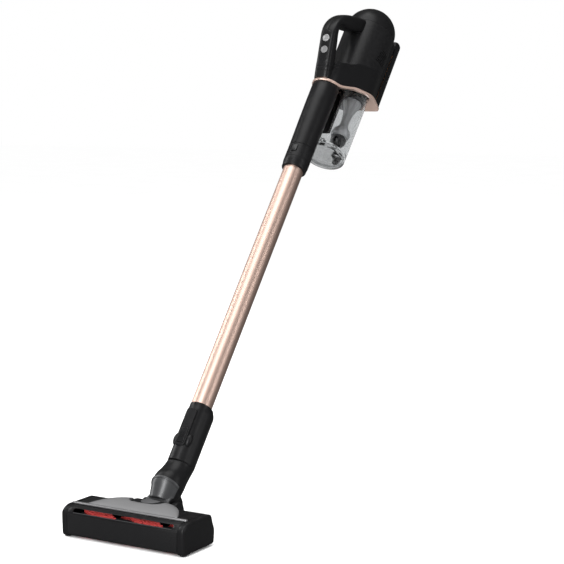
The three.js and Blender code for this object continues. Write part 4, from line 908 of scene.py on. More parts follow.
class Neck(bpy.types.Operator):
    """Builds the swivelling neck and its front cover"""
    bl_idname = "vacuum.neck"
    bl_label = "Neck"

    def body(self, name, extra=0.0):
        shell = neck_loft(name, extra)
        half = NECK_HALF - 0.2
        y, z, radius = KNUCKLE
        return join(shell, rod("t", BARREL_NECK_RADIUS + extra, -half, half, (0, 0), "X", 96, 1.5),
                    rod("t", radius + min(extra, 0), -half, half, (y, z), "X", 96, 4.0))

    def wedge(self, name, extra=0.0):
        reach = 60.0
        spread = reach * math.tan(math.radians(64))
        low = [(0, extra), (-spread, -reach), (spread, -reach)]
        shape = prism(name, low, -12 - extra, 80, "Z")
        slope = prism("t", [(-80, FRONT_TOP + 14 + extra), (30, FRONT_TOP - 24 + extra), (30, 120),
                            (-80, 120)],
                      -80, 80)
        core = rod("t", BARREL_NECK_RADIUS - 2 - extra, -60, 60, (0, 0), "X")
        inner = neck_loft("t", -2 - extra)
        return cut(shape, slope, core, inner)

    def execute(self, context):
        shell = melt(self.body("neck_shell"), 0.9, 6)
        cut(shell, rod("t", SLEEVE_RADIUS + GAP, ELBOW_TOP - SLEEVE_REACH - GAP, ELBOW_TOP + 5,
                       (0, SWIVEL_Y)),
            rod("t", 16.0, -10, ELBOW_TOP + 5), self.wedge("t", GAP))
        for side in (-1, 1):
            ends = sorted((side * (NECK_HALF - 8), side * (NECK_HALF + 2)))
            cut(shell, rod("t", 6.0 + GAP, *ends, (0, 0), "X", 48))
        finish_piece(shell, STICK, LOOKS["satin_black"], "elbow", ["elbow_shell"])
        cover = common(melt(self.body("neck_front_skin", 0.5), 0.9, 4), self.wedge("t"))
        ridge = common(neck_loft("t", 1.5), self.wedge("t"))
        common(ridge, prism("t", [(-80, FRONT_TOP + 9.5), (30, FRONT_TOP - 28.5), (30, 120), (-80, 120)],
                            -80, 80))
        join(cover, soften(ridge, 0.5, 3, 50))
        soften(cover, 0.5, 2, 50)
        finish_piece(cover, STICK, LOOKS["neck_grey"], "elbow", ["elbow_front_cover"])
        sleeve = lathe("swivel_ring", [(18, ELBOW_TOP - 14), (21, ELBOW_TOP - 14), (21, ELBOW_TOP + 14),
                                       (18, ELBOW_TOP + 14)], (0, SWIVEL_Y))
        finish_piece(sleeve, STICK, LOOKS["dark_grey"], "elbow", ["swivel_sleeve"])
        return {"FINISHED"}


def front_key(name, half, low, high, front, back, radius=3.0):
    """Push button on a tube's front, with round corners and a soft crown."""
    key = prism(name, round_rect((-half, low), (half, high), radius), front, back, "Y")
    return soften(key, 0.9, 4, 50)


class Wand(bpy.types.Operator):
    """Builds the wand tube and its lower connector"""
    bl_idname = "vacuum.wand"
    bl_label = "Wand"

    def thumb_rest(self, side):
        """Soft swelling beside the release button."""
        bm = bmesh.new()
        place = Matrix.Translation((side * 12.5, -15.6, ELBOW_TOP + 40)) @ Matrix.Diagonal((7, 6.4, 13, 1))
        bmesh.ops.create_uvsphere(bm, u_segments=48, v_segments=32, radius=1, matrix=place)
        return new_object("t", bm)

    def execute(self, context):
        inner = WAND_RADIUS - WAND_WALL
        tube = lathe("wand_skin", [(inner, WAND_BOTTOM), (WAND_RADIUS - 0.4, WAND_BOTTOM),
                                   (WAND_RADIUS, WAND_BOTTOM + 0.4),
                                   (WAND_RADIUS, WAND_TOP - 0.4), (WAND_RADIUS - 0.4, WAND_TOP),
                                   (inner, WAND_TOP)],
                     segments=128)
        finish_piece(tube, STICK, LOOKS["rose_gold"], "handheld", ["wand_tube"])

        y_back, r_back = CONNECTOR_BACK
        top = CONNECTOR_TOP
        rows = [(ELBOW_TOP, 0.4), (ELBOW_TOP + 0.5, 0), (top - 15, 0), (top - 12, 0.25), (top - 8, 1.4),
                (top - 4, 3.2),
                (top - 0.8, 4.4), (top, 5.0)]
        rings = []
        for z, drop in rows:
            front = CONNECTOR_FRONT - min(drop, 1.2)
            ring = even(around([(0, 0, front), (0, y_back - 0.3 * drop, r_back - drop)]), 144)
            rings.append([(x, y, z) for x, y in ring])
        shell = loft("connector_skin", rings)
        pad_front = -CONNECTOR_FRONT - 1.8
        pad = prism("t", round_rect((-11, ELBOW_TOP + 26), (11, top - 14), 7), pad_front, -10, "Y")
        join(shell, soften(pad, 1.2, 4, 50), *[self.thumb_rest(side) for side in (-1, 1)])
        slot = (8, ELBOW_TOP + 32, WAND_BOTTOM - 3, pad_front - 1.2, pad_front + 3.4)
        cut(shell, rod("t", WAND_RADIUS + GAP, WAND_BOTTOM - GAP, top + 5, segments=128),
            rod("t", 17.4, ELBOW_TOP - 5, WAND_BOTTOM + 5),
            rod("t", SLEEVE_RADIUS + GAP, ELBOW_TOP - 5, ELBOW_TOP + SLEEVE_REACH + GAP, (0, SWIVEL_Y)),
            prism("t", round_rect((-8.3, slot[1] - GAP), (8.3, slot[2] + GAP), 3.2), slot[3] - 5,
                  slot[4] + 1.3, "Y"))
        soften(shell, 0.35, 2, 45)
        finish_piece(shell, STICK, LOOKS["satin_black"], "handheld", ["lower_connector"])
        key = front_key("connector_key", *slot)
        for k in range(4):
            z = slot[1] + 8 + 3.2 * k
            cut(key, prism("t", round_rect((-4.5, z), (4.5, z + 1.1), 0.5), slot[3] - 2, slot[3] + 0.5, "Y"))
        finish_piece(key, STICK, LOOKS["gloss_black"], "head_key", ["connector_release"])
        return {"FINISHED"}


# ------------------------------------------------------------------ handheld body

TRIM_LINE = [(-90, 945), (-45, 945), (-28, 946.5), (0, 951), (20, 962), (38, 973.5), (60, 981.5),
             (84, 991), (112, 1001), (165, 1011), (180, 1011)]
BODY_TOP_LINE = [(-90, 976), (-80, 976), (-34, 979), (-20, 996), (10, 1013), (31, 1031), (74, 1048),
                 (140, 1070),
                 (180, 1070)]
TRIM_THICKNESS = 5.0
BODY_BACK, BATTERY_BACK = 133.2, 156.0
BODY_BACK_HALF = 38.0
BODY_FRONT_RADIUS = 28.0
MOTOR_RADIUS, MOTOR_WALL, DOME_START = 54.0, 2.3, 1153.0
CUP_RADIUS_LOW, CUP_RADIUS_HIGH, CUP_WALL = 45.0, 47.0, 2.2
CUP_BOTTOM, CUP_TOP = 836.0, 1012.0
GRIP_FOOT, GRIP_HEAD = (-38.0, 962.0), (-66.0, 1037.0)
HANDLE_HALF = 17.0
SQUARENESS = 3.4                 # power of the handle's rounded section
BUTTON_HEIGHTS = (43.0, 67.5)
BUTTON_RADIUS = 7.5
PANEL_HALF, PANEL_THICKNESS = 9.0, 2.4
COLLAR_LOW, COLLAR_TOP = 738.0, 788.0
BATTERY_LOW, BATTERY_TOP, BATTERY_HALF = 1015.0, 1177.0, 38.0
LOUVRES, LOUVRE_LOW, LOUVRE_PITCH = 7, 1068, 5


def body_plan(extra=0.0, back=BODY_BACK):
    """Body seen down the stick: barrel circle, motor circle and square back, as one outline."""
    return even(around([
        (0, 0, BODY_FRONT_RADIUS + extra), (0, CUP_Y, MOTOR_RADIUS + extra),
        (BODY_BACK_HALF - 6, back - 6, 6 + extra), (6 - BODY_BACK_HALF, back - 6, 6 + extra)]), 200)


def grip_matrix():
    """Grip frame: x across, y into the handle, z up its straight front, from its foot."""
    slope = math.atan2(GRIP_FOOT[0] - GRIP_HEAD[0], GRIP_HEAD[1] - GRIP_FOOT[1])
    return Matrix.Translation((0, *GRIP_FOOT)) @ Matrix.Rotation(slope, 4, "X")


GRIP = grip_matrix()
GRIP_LENGTH = math.hypot(GRIP_HEAD[0] - GRIP_FOOT[0], GRIP_HEAD[1] - GRIP_FOOT[1])

# Handle's loop as pairs of outer and inner points (y, z), from its foot to where it meets the motor
HANDLE_PAIRS = [((-32, 946), (-4, 958)), ((-38.5, 962), (-12, 976)), ((-47, 985), (-20.5, 996)),
                ((-55, 1007), (-29.5, 1014)), ((-61, 1023.5), (-36.5, 1030)), ((-65.8, 1038), (-43.5, 1043)),
                ((-67, 1052), (-47.5, 1054.5)), ((-63.5, 1068), (-47.8, 1063)),
                ((-55.5, 1085), (-43, 1070.5)),
                ((-43, 1101.5), (-32, 1077)), ((-22, 1118.5), (-12, 1086.5)), ((4, 1136), (12, 1102)),
                ((34, 1154), (44, 1121))]


def handle_loop(name, extra=0.0):
    """The handle as a rounded section swept through its pairs of points."""
    rows = curve_through([(*outer, 0) for outer, _ in HANDLE_PAIRS], 5)
    inners = curve_through([(*inner, 0) for _, inner in HANDLE_PAIRS], 5)
    count = 72
    power = 2 / SQUARENESS
    sections = []
    for outer, inner in zip(rows, inners):
        a, b = Vector(outer[:2]), Vector(inner[:2])
        middle, reach = (a + b) / 2, (b - a) / 2
        section = []
        for i in range(count):
            t = 2 * math.pi * i / count
            c, s = math.cos(t), math.sin(t)
            across = math.copysign(abs(s) ** power, s) * (HANDLE_HALF + extra)
            depth = math.copysign(abs(c) ** power, c) * (1 + extra / reach.length)
            p = middle + reach * depth
            section.append((across, p.x, p.y))
        sections.append(section)
    return loft(name, sections)


class BodyShell(bpy.types.Operator):
    """Builds the body under the motor and the rose-gold trim plate"""
    bl_idname = "vacuum.body_shell"
    bl_label = "Body and Trim"

    def execute(self, context):
        shell = prism("body_skin", body_plan(), 920, 1100, "Z")
        join(shell, common(handle_loop("t", 0.2), block("t", (-40, -80, 900), (40, 30, 1000))))
        hollow = prism("t", body_plan(-3.0), 900, 1120, "Z")
        cut(hollow, above("t", BODY_TOP_LINE, -3.0))
        cut(shell, above("t", BODY_TOP_LINE), hollow, rod("t", 47.7, 1000, 1100, (0, CUP_Y)))
        common(shell, above("t", TRIM_LINE, TRIM_THICKNESS / 2 + GAP))
        for drop in (8.0, 16.0):
            line = cut(above("t", BODY_TOP_LINE, -drop), above("t", BODY_TOP_LINE, 0.9 - drop),
                       block("t", (-90, -16, 900), (90, 200, 1200)), handle_loop("t", -0.6))
            cut(shell, line)
        soften(shell, 0.5, 3, 45)
        finish_piece(shell, STICK, LOOKS["satin_black"], "handheld", ["body_shell"])

        plate = above("trim_skin", TRIM_LINE, -TRIM_THICKNESS / 2)
        cut(plate, above("t", TRIM_LINE, TRIM_THICKNESS / 2))
        common(plate, prism("t", body_plan(1.6, BATTERY_BACK), 900, 1060, "Z"))
        cut(plate, rod("t", CUP_RADIUS_HIGH + GAP, 900, 1060, (0, CUP_Y)), rod("t", 19.0, 900, 1060))
        soften(plate, 1.1, 4, 45)
        finish_piece(plate, STICK, LOOKS["rose_trim"], "handheld", ["trim_plate"])
        return {"FINISHED"}


class Handle(bpy.types.Operator):
    """Builds the handle's two halves, its control panel and its buttons"""
    bl_idname = "vacuum.handle"
    bl_label = "Handle and Buttons"

    def execute(self, context):
        panel_end = GRIP_LENGTH + 4
        for side, label in ((-1, "left"), (1, "right")):
            half = handle_loop(f"handle_{label}_skin")
            outline = round_rect((-PANEL_HALF - GAP, 14), (PANEL_HALF + GAP, panel_end + GAP), 6 + GAP)
            recess = prism("t", outline, -8, PANEL_THICKNESS + GAP, "Y")
            recess.data.transform(GRIP)
            cut(half, rod("t", MOTOR_RADIUS + GAP, 900, 1300, (0, CUP_Y)), recess)
            for height in BUTTON_HEIGHTS:
                well = rod("t", 3.6, 0, 10, segments=32)
                well.data.transform(GRIP @ Matrix.Translation((0, 0,
                                                               height)) @ Matrix.Rotation(-math.pi / 2, 4,
                                                                                          "X"))
                cut(half, well)
            common(half, above("t", BODY_TOP_LINE, GAP), block("t", (GAP / 2, -120, 900), (60, 120, 1300)))
            soften(half, 0.3, 2, 50)
            if side < 0:
                mirror_image(half)
            finish_piece(half, STICK, LOOKS["satin_black"], "handheld", [f"handle_{label}"])

        place = STICK @ GRIP
        panel = handle_loop("panel_skin", -0.1)
        panel.data.transform(GRIP.inverted())
        outline = round_rect((-PANEL_HALF, 14 + GAP), (PANEL_HALF, panel_end), 6)
        common(panel, prism("t", outline, -8, PANEL_THICKNESS, "Y"))
        for height in BUTTON_HEIGHTS:
            cut(panel, self.across(rod("t", BUTTON_RADIUS + GAP, -6, 8, segments=64), height))
        soften(panel, 0.6, 3, 45)
        finish_piece(panel, place, LOOKS["gloss_black"], "handheld", ["control_panel"])
        keys = (("level", "level_key", "level_button", "button_grey"),
                ("power", "power_key", "power_button", "silver_grey"))
        for (label, body, node, finish), height in zip(keys, BUTTON_HEIGHTS):
            cap = lathe(f"{label}_cap", [
                (0, 0.55), (2.5, 0.6), (4.6, 0.85), (5.6, 1.15), (6.4, 1.2), (7.1, 1.0), (7.5, 0.45),
                (7.5, -1.4),
                (3, -1.4), (3, -6), (0, -6)], segments=64)
            self.across(cap, height)
            finish_piece(cap, place, LOOKS[finish], body, [node], 50)
        return {"FINISHED"}

    def across(self, obj, height):
        """Turns a piece built about Z so that its top faces out of the grip, at a height up it."""
        obj.data.transform(Matrix.Translation((0, 0, height)) @ Matrix.Rotation(math.pi / 2, 4, "X"))
        return obj


class MotorHousing(bpy.types.Operator):
    """Builds the motor housing with its round top and louvres"""
    bl_idname = "vacuum.motor_housing"
    bl_label = "Motor Housing"

    def execute(self, context):
        steps = 22
        arcs = []
        for radius in (MOTOR_RADIUS, MOTOR_RADIUS - MOTOR_WALL):
            angles = [math.pi / 2 * i / steps for i in range(steps + 1)]
            arcs.append([(radius * math.cos(t) if i < steps else 0.0, DOME_START + radius * math.sin(t))
                         for i, t in enumerate(angles)])
        cover = lathe("motor_skin", [(0, 1000), (MOTOR_RADIUS, 1000), *arcs[0]], (0, CUP_Y), segments=160)
        inside = lathe("t", [(0, 990), (MOTOR_RADIUS - MOTOR_WALL, 990), *arcs[1]], (0, CUP_Y))
        cut(cover, inside)
        common(cover, above("t", BODY_TOP_LINE, GAP))
        seam = lathe("t", [(MOTOR_RADIUS - 0.5, 1148.6), (MOTOR_RADIUS + 2, 1148.6),
                           (MOTOR_RADIUS + 2, 1149.4),
                           (MOTOR_RADIUS - 0.5, 1149.4)], (0, CUP_Y), segments=160)
        cut(cover, seam)
        for side in (-1, 1):
            for i in range(LOUVRES):
                z = LOUVRE_LOW + LOUVRE_PITCH * i
                low, high = sorted((side * 30, side * 70))
                cut(cover, prism("t", round_rect((CUP_Y - 20 + 1.5 * i, z), (CUP_Y + 14, z + 1.9), 0.9),
                                 low, high))
        soften(cover, 0.3, 2, 50)
        finish_piece(cover, STICK, LOOKS["satin_black"], "handheld", ["motor_cover"])
        return {"FINISHED"}


class IntakeBarrel(bpy.types.Operator):
    """Builds the intake barrel, its collar and the wand release button"""
    bl_idname = "vacuum.intake_barrel"
    bl_label = "Intake Barrel"

    def execute(self, context):
        low, top = COLLAR_LOW, COLLAR_TOP
        barrel = lathe("barrel_skin", [(0, top + GAP), (25.4, top + GAP), (26, top + GAP + 0.6),
                                       (26.4, 812), (27.2, 860),
                                       (27.6, 900), (27.6, 990), (0, 990)], segments=128)
        cut(barrel, rod("t", 21.0, 700, 1000), above("t", TRIM_LINE, -TRIM_THICKNESS / 2 - GAP))
        soften(barrel, 0.4, 2, 50)
        finish_piece(barrel, STICK, LOOKS["satin_black"], "handheld", ["intake_barrel"])
        front = -27.2
        slot = (7, 767, 783, front, front + 5)
        collar = lathe("collar_skin", [(0, low), (23.4, low), (24.4, low + 0.5), (25, low + 2), (25, low + 8),
                                       (25.3, low + 9.5), (26, low + 12), (26, top - 0.7), (25.4, top),
                                       (0, top)],
                       segments=128)
        groove = lathe("t", [(25.5, low + 19), (30, low + 19), (30, low + 20), (25.5, low + 20)],
                       segments=128)
        cut(collar, rod("t", WAND_RADIUS + GAP, low - 5, WAND_TOP + GAP, segments=128),
            rod("t", 17.4, low, top + 5),
            groove,
            prism("t", round_rect((-7.3, slot[1] - GAP), (7.3, slot[2] + GAP), 3.2), slot[3] - 5,
                  slot[4] + 1.3, "Y"))
        soften(collar, 0.3, 2, 50)
        finish_piece(collar, STICK, LOOKS["satin_black"], "handheld", ["barrel_collar"])
        finish_piece(front_key("wand_key_skin", *slot), STICK, LOOKS["gloss_black"], "wand_key",
                     ["barrel_release"])
        return {"FINISHED"}


class DustCup(bpy.types.Operator):
    """Builds the clear dust cup with its flap, inlet duct and vortex finder"""
    bl_idname = "vacuum.dust_cup"
    bl_label = "Dust Cup"

    def execute(self, context):
        low, top, wall = CUP_BOTTOM, CUP_TOP, CUP_WALL
        cup = lathe("cup_skin", [
            (CUP_RADIUS_LOW - wall, low), (CUP_RADIUS_LOW - 0.4, low), (CUP_RADIUS_LOW, low + 0.4),
            (CUP_RADIUS_LOW, low + 4), (CUP_RADIUS_LOW - 0.5, low + 4.8), (CUP_RADIUS_LOW - 0.5, low + 5.6),
            (CUP_RADIUS_LOW + 0.05, low + 6.4), (CUP_RADIUS_HIGH, top - 0.4), (CUP_RADIUS_HIGH - 0.4, top),
            (CUP_RADIUS_HIGH - wall, top)], (0, CUP_Y), segments=144)
        hinge_y, hinge_z = 30.0, low - 3.8
        for side in (-1, 1):
            a, b = sorted((side * 10.3, side * 15))
            lug = join(rod("t", 2.8, a, b, (hinge_y, hinge_z), "X", 32),
                       block("t", (a, hinge_y - 2.8, hinge_z), (b, hinge_y + 2.8, low + 6)),
                       block("t", (a, hinge_y, low + 0.4), (b, CUP_Y - CUP_RADIUS_LOW + 3.4, low + 6)))
            join(cup, lug)
        cut(cup, rod("t", 1.5, -30, 30, (hinge_y, hinge_z), "X", 32),
            rod("t", CUP_RADIUS_LOW - wall, low - 1, low + 20, (0, CUP_Y)),
            self.sideways(rod("t", 3.3, -10, 10, segments=32), low + 18))
        finish_piece(cup, STICK, LOOKS["clear_smoke"], "dust_cup", ["cup_wall"])
        self.flap(low, wall, hinge_y, hinge_z)
        self.insides(low, wall)
        return {"FINISHED"}

    def sideways(self, obj, z):
        """Turns a piece built about Z to face out of the cup's back, at a height."""
        obj.data.transform(Matrix.Translation((0, CUP_Y + CUP_RADIUS_LOW,
                                               z)) @ Matrix.Rotation(-math.pi / 2, 4, "X"))
        return obj

    def flap(self, low, wall, hinge_y, hinge_z):
        bottom = low - 7.3
        lip = CUP_RADIUS_LOW - wall - 0.6
        disc = lathe("flap_skin", [
            (0, bottom + 0.8), (12, bottom + 0.8), (13, bottom), (CUP_RADIUS_LOW - 2.5, bottom),
            (CUP_RADIUS_LOW - 0.8, bottom + 0.7), (CUP_RADIUS_LOW, bottom + 2.5), (CUP_RADIUS_LOW, low - GAP),
            (lip, low - GAP), (lip, low + 3), (lip - 2, low + 3), (lip - 2, bottom + 2.5), (0, bottom + 2.5)],
            (0, CUP_Y), segments=144)
        knuckle = join(rod("t", 2.8, -10, 10, (hinge_y, hinge_z), "X", 32),
                       block("t", (-10, hinge_y, hinge_z - 2.4),
                             (10, CUP_Y - CUP_RADIUS_LOW + 4, hinge_z + 2.4)))
        rooms = [block("t", (min(a, b), 20, bottom - 1), (max(a, b), hinge_y + 4, low))
                 for a, b in ((-15.3, -10), (10, 15.3))]
        join(disc, knuckle)
        cut(disc, rod("t", 1.5, -30, 30, (hinge_y, hinge_z), "X", 32), *rooms)
        finish_piece(disc, STICK, LOOKS["flap_smoke"], "flap", ["cup_flap"])

        button = self.sideways(lathe("flap_key_skin", [
            (0, 4.5), (4, 4.6), (6.6, 5), (7.4, 4.8), (8, 4.2), (8, 2.2), (3, 2.2), (3, -6), (0, -6)],
            segments=64),
            low + 18)
        finish_piece(button, STICK, LOOKS["dark_grey"], "flap_key", ["flap_release"])

    def insides(self, low, wall):
        inside = rod("inlet_duct_skin", CUP_RADIUS_LOW - wall - 1, 860, 972, (0, CUP_Y))
        common(inside, prism("t", round_rect((-17, 33), (17, 52), 6), 868, 971, "Z"))
        cut(inside, prism("t", round_rect((-14, 30), (14, 49), 4), 860, 968, "Z"))
        soften(inside, 0.5, 3, 45)
        finish_piece(inside, STICK, LOOKS["satin_black"], "dust_cup", ["inlet_duct"])
        axis = (14, CUP_Y + 10)
        ball, ball_z, neck_z = 16.5, 878.0, 884.0
        turns = [math.radians(angle) for angle in range(6, 108, 6)]
        arc = [(ball * math.sin(t), ball_z - ball * math.cos(t)) for t in turns]
        # Painted light: the vortex ball is gloss black only up to just past its middle. Its top is the cone's
        # light grey, so the ball looks lit from above.
        knob = lathe("vortex_ball", [(0, ball_z - ball), *arc, (0, neck_z - GAP)], axis, segments=96)
        finish_piece(knob, STICK, LOOKS["gloss_black"], "handheld", sharp=40)
        # Profile of the cone. The bulge at its foot is the ball's top, painted as lit.
        lit_ball_top_and_stem = curve_through([(17.5, neck_z), (19.5, 889), (19.6, 895), (17, 903), (12, 909), (9.3, 917),
                              (9, 928),
                              (10.5, 944), (14, 958), (19, 972)], 4)
        cone = lathe("vortex_cone_and_lit_ball_top", [(0, neck_z), *lit_ball_top_and_stem, (19, 975.7), (0, 975.7)], axis, segments=96)
        finish_piece(cone, STICK, LOOKS["cone_grey_and_lit_ball_top"], "handheld", sharp=40)
        slots = [(41 - 0.9 * (k % 2), 978.5 + 2.2 * (k // 2) + 1.1 * (k % 2)) for k in range(20)]
        head = lathe("vortex_skin", [(0, 976), (39.5, 976), (41, 977), *slots, (41, 1003), (40, 1004),
                                     (30, 1004),
                                     (30, 980), (0, 980)], (0, CUP_Y), segments=96)
        finish_piece(head, STICK, LOOKS["gloss_black"], "handheld", ["vortex_finder"], 40)
        self.catch(low)

    def catch(self, low):
        """Small spring hook near the cup's mouth and the round window of its air valve."""
        y = CUP_Y - 25
        line = curve_through([(0, y, low + 6), (0, y - 3, low + 13), (0, y + 1, low + 20),
                              (0, y + 7, low + 21),
                              (0, y + 10, low + 15)], 6)
        sections = []
        for i, (x, py, pz) in enumerate(line):
            after, before = line[min(i + 1, len(line) - 1)], line[max(i - 1, 0)]
            along = (Vector(after) - Vector(before)).normalized()
            side = Vector((1, 0, 0))
            out = along.cross(side)
            sections.append([tuple(Vector((x, py, pz)) + 4.2 * math.cos(t) * side + 2.4 * math.sin(t) * out)
                             for t in (2 * math.pi * k / 20 for k in range(20))])
        hook = loft("cup_hook", sections)
        finish_piece(hook, STICK, LOOKS["gloss_black"], "dust_cup", sharp=50)
        ring = lathe("valve_ring", [(8.5, low - 1), (10.5, low - 1), (11.5, low), (11.5, low + 4),
                                    (10.5, low + 5.5),
                                    (8.8, low + 5.5), (8.5, low + 4)], (26, CUP_Y + 8), segments=64)
        finish_piece(ring, STICK, LOOKS["dark_grey"], "flap")


class Battery(bpy.types.Operator):
    """Builds the battery case, its release button and the dock it slides on"""
    bl_idname = "vacuum.battery"
    bl_label = "Battery"

    def execute(self, context):
        front = BODY_BACK + GAP
        low, top, half = BATTERY_LOW, BATTERY_TOP, BATTERY_HALF
        case = prism("battery_skin", round_rect((-half, front), (half, BATTERY_BACK), 7, 8), low, top, "Z")
        crown = curve_through([(BATTERY_BACK + 0.5, top - 20), (BATTERY_BACK + 0.2, top - 15),
                               (BATTERY_BACK - 2.5, top - 6),
                               (BATTERY_BACK - 8, top - 1), (BATTERY_BACK - 14, top)], 6)
        common(case, prism("t", [(front - 10, low), (BATTERY_BACK + 0.5, low), *crown, (front - 10, top)],
                           -60, 60))
        soften(case, 1.6, 4, 40)
        inner = block("t", (-half + 1.6, front + 1.6, low + 1.6), (half - 1.6, BATTERY_BACK - 1.6, top - 20))
        grooves = [block("t", (side * half - 0.5, front + 7.5, low + 6),
                         (side * half + 0.5, front + 8.1, top - 22))
                   for side in (-1, 1)]
        cut(case, inner, block("t", (-14, front - 5, 1030), (14, front + 5, 1046)), *grooves,
            block("t", (-12.3, BATTERY_BACK - 5, 1152.2), (12.3, BATTERY_BACK + 5, 1163.3)))
        finish_piece(case, STICK, LOOKS["satin_black"], "battery", ["battery_case"])
        latch = block("battery_key_skin", (-12, BATTERY_BACK - 3.4, 1152.5), (12, BATTERY_BACK, 1163), 0.9)
        finish_piece(latch, STICK, LOOKS["gloss_black"], "battery_key", ["battery_release"])
        dock = block("dock_skin", (-36, 112, 1040), (36, BODY_BACK, 1163))
        cut(dock, rod("t", MOTOR_RADIUS + GAP, 900, 1151.2, (0, CUP_Y), segments=128))
        ball = bmesh.new()
        bmesh.ops.create_uvsphere(ball, u_segments=96, v_segments=48, radius=MOTOR_RADIUS + GAP + 0.2,
                                  matrix=Matrix.Translation((0, CUP_Y, DOME_START)))
        cut(dock, new_object("t", ball))
        common(dock, above("t", BODY_TOP_LINE, GAP))
        soften(dock, 0.8, 3, 45)
        finish_piece(dock, STICK, LOOKS["satin_black"], "handheld", ["battery_dock"])
        return {"FINISHED"}


# ------------------------------------------------------------------ pieces kept as they are

KEPT = {
    "matt_black": ["head_base"],
    "dark_grey": ["motor_mount", "fan_rotor"],
    "rubber": ["drive_belt", "sole_lip", "cup_seal"],
    "steel": ["roller_bearing_left", "roller_bearing_right", "drive_pulley", "sole_screw_left",
              "sole_screw_right",
              "flap_pin"],
    "motor_metal": ["head_motor", "motor_can"],
    "filter": ["exhaust_filter", "pre_filter"],
    "board": ["circuit_board"],
    "cells": ["cell_pack"],
}


class InnerParts(bpy.types.Operator):
    """Gives the working parts inside the covers their finishes"""
    bl_idname = "vacuum.inner_parts"
    bl_label = "Inner Parts"

    def execute(self, context):
        for finish, names in KEPT.items():
            for name in names:
                node = frame["nodes"][name]
                node.data.materials.clear()
                node.data.materials.append(LOOKS[finish])
        return {"FINISHED"}


# ------------------------------------------------------------------ stage

VIEW_AZIMUTH = 30.97             # degrees round the machine from straight in front
VIEW_ELEVATION = 6.79
VIEW_DISTANCE = 2.2215           # in diagonals of the machine's box
AIM = Vector((0.005, 0.0503, -0.0767))   # from the box's middle, in shares of its sides
LENS = 99.45
SENSOR = 36.0


class Stage(bpy.types.Operator):
    """Builds the floor, the lights and the camera"""
    bl_idname = "vacuum.stage"
    bl_label = "Stage"

    def execute(self, context):
        scene = context.scene
        size = CAD_HIGH - CAD_LOW
        middle = (CAD_LOW + CAD_HIGH) / 2
        reach = size.length

        bm = bmesh.new()
        bmesh.ops.create_grid(bm, x_segments=1, y_segments=1, size=12 * reach)
        floor = new_object("floor", bm)
        floor.location = (middle.x, middle.y, CAD_LOW.z - 0.0005)
        material, n, shader = start_material("Pale Floor")
        place = n.add("ShaderNodeTexCoord").outputs["Object"]
        tone = n.noise(place, 3.0, 3.0, 0.5)
        n.wire(n.mix(n.spread(tone, 0.3, 0.7), (0.985, 0.985, 0.985, 1), (1, 1, 1, 1)),
               shader.inputs["Base Color"])
        shader.inputs["Roughness"].default_value = 0.95
        shader.inputs["Specular IOR Level"].default_value = 0.0
        dim = n.add("ShaderNodeBsdfDiffuse")
        dim.inputs["Color"].default_value = (0.08, 0.08, 0.08, 1)
        pick = n.add("ShaderNodeMixShader")
        n.wire(n.reflected(), pick.inputs["Fac"])
        n.wire(shader.outputs[0], pick.inputs[1])
        n.wire(dim.outputs[0], pick.inputs[2])
        n.wire(pick.outputs[0], material.node_tree.nodes["Material Output"].inputs["Surface"])
        floor.data.materials.append(material)

        world = bpy.data.worlds.new("Studio")
        scene.world = world
        world.use_nodes = True
        w = Nodes(world.node_tree)
        tree = world.node_tree.nodes
        bright, mirrored = tree["Background"], w.add("ShaderNodeBackground")
        bright.inputs["Color"].default_value = (1, 1, 1, 1)
        bright.inputs["Strength"].default_value = scene.vacuum_stage.ambient
        mirrored.inputs["Color"].default_value = (1, 1, 1, 1)
        mirrored.inputs["Strength"].default_value = scene.vacuum_stage.mirrored
        blend = w.add("ShaderNodeMixShader")
        w.wire(w.reflected(), blend.inputs["Fac"])
        w.wire(bright.outputs[0], blend.inputs[1])
        w.wire(mirrored.outputs[0], blend.inputs[2])
        w.wire(blend.outputs[0], tree["World Output"].inputs["Surface"])

        azimuth, elevation = math.radians(VIEW_AZIMUTH), math.radians(VIEW_ELEVATION)
        back = Vector((math.sin(azimuth) * math.cos(elevation), -math.cos(azimuth) * math.cos(elevation),
                       math.sin(elevation)))
        aim = middle + Vector(a * s for a, s in zip(AIM, size))
        camera = bpy.data.objects.new("camera", bpy.data.cameras.new("camera"))
        scene.collection.objects.link(camera)
        camera.data.lens = LENS
        camera.data.sensor_width = SENSOR
        camera.data.clip_end = 60 * reach
        camera.location = aim + back * VIEW_DISTANCE * reach
        camera.rotation_euler = (-back).to_track_quat("-Z", "Y").to_euler()
        scene.camera = camera

        right = Vector((math.cos(azimuth), math.sin(azimuth), 0))
        lights = (("key", -0.85, 1.8, 0.7, 0.6, 1.9, 1.1), ("fill", 1.7, 0.9, 0.4, 0.35, 1.8, 0.16),
                  ("top", -0.2, 0.1, 2.0, 1.6, 1.6, 0.55), ("rim", -1.6, -0.7, 0.6, 0.4, 1.8, 0.3))
        for label, side, near, high, wide, tall, share in lights:
            data = bpy.data.lights.new(label, "AREA")
            data.shape = "RECTANGLE"
            data.size = wide * reach
            data.size_y = tall * reach
            data.energy = scene.vacuum_stage.light_power * share
            lamp = bpy.data.objects.new(label, data)
            scene.collection.objects.link(lamp)
            lamp.visible_camera = False
            flat = Vector((back.x, back.y, 0)).normalized()
            lamp.location = middle + reach * (side * right + near * flat + high * Vector((0, 0, 1)))
            lamp.rotation_euler = (middle - lamp.location).to_track_quat("-Z", "Y").to_euler()
        scene.view_settings.view_transform = "Standard"
        return {"FINISHED"}


# ------------------------------------------------------------------ settings, panel and registration

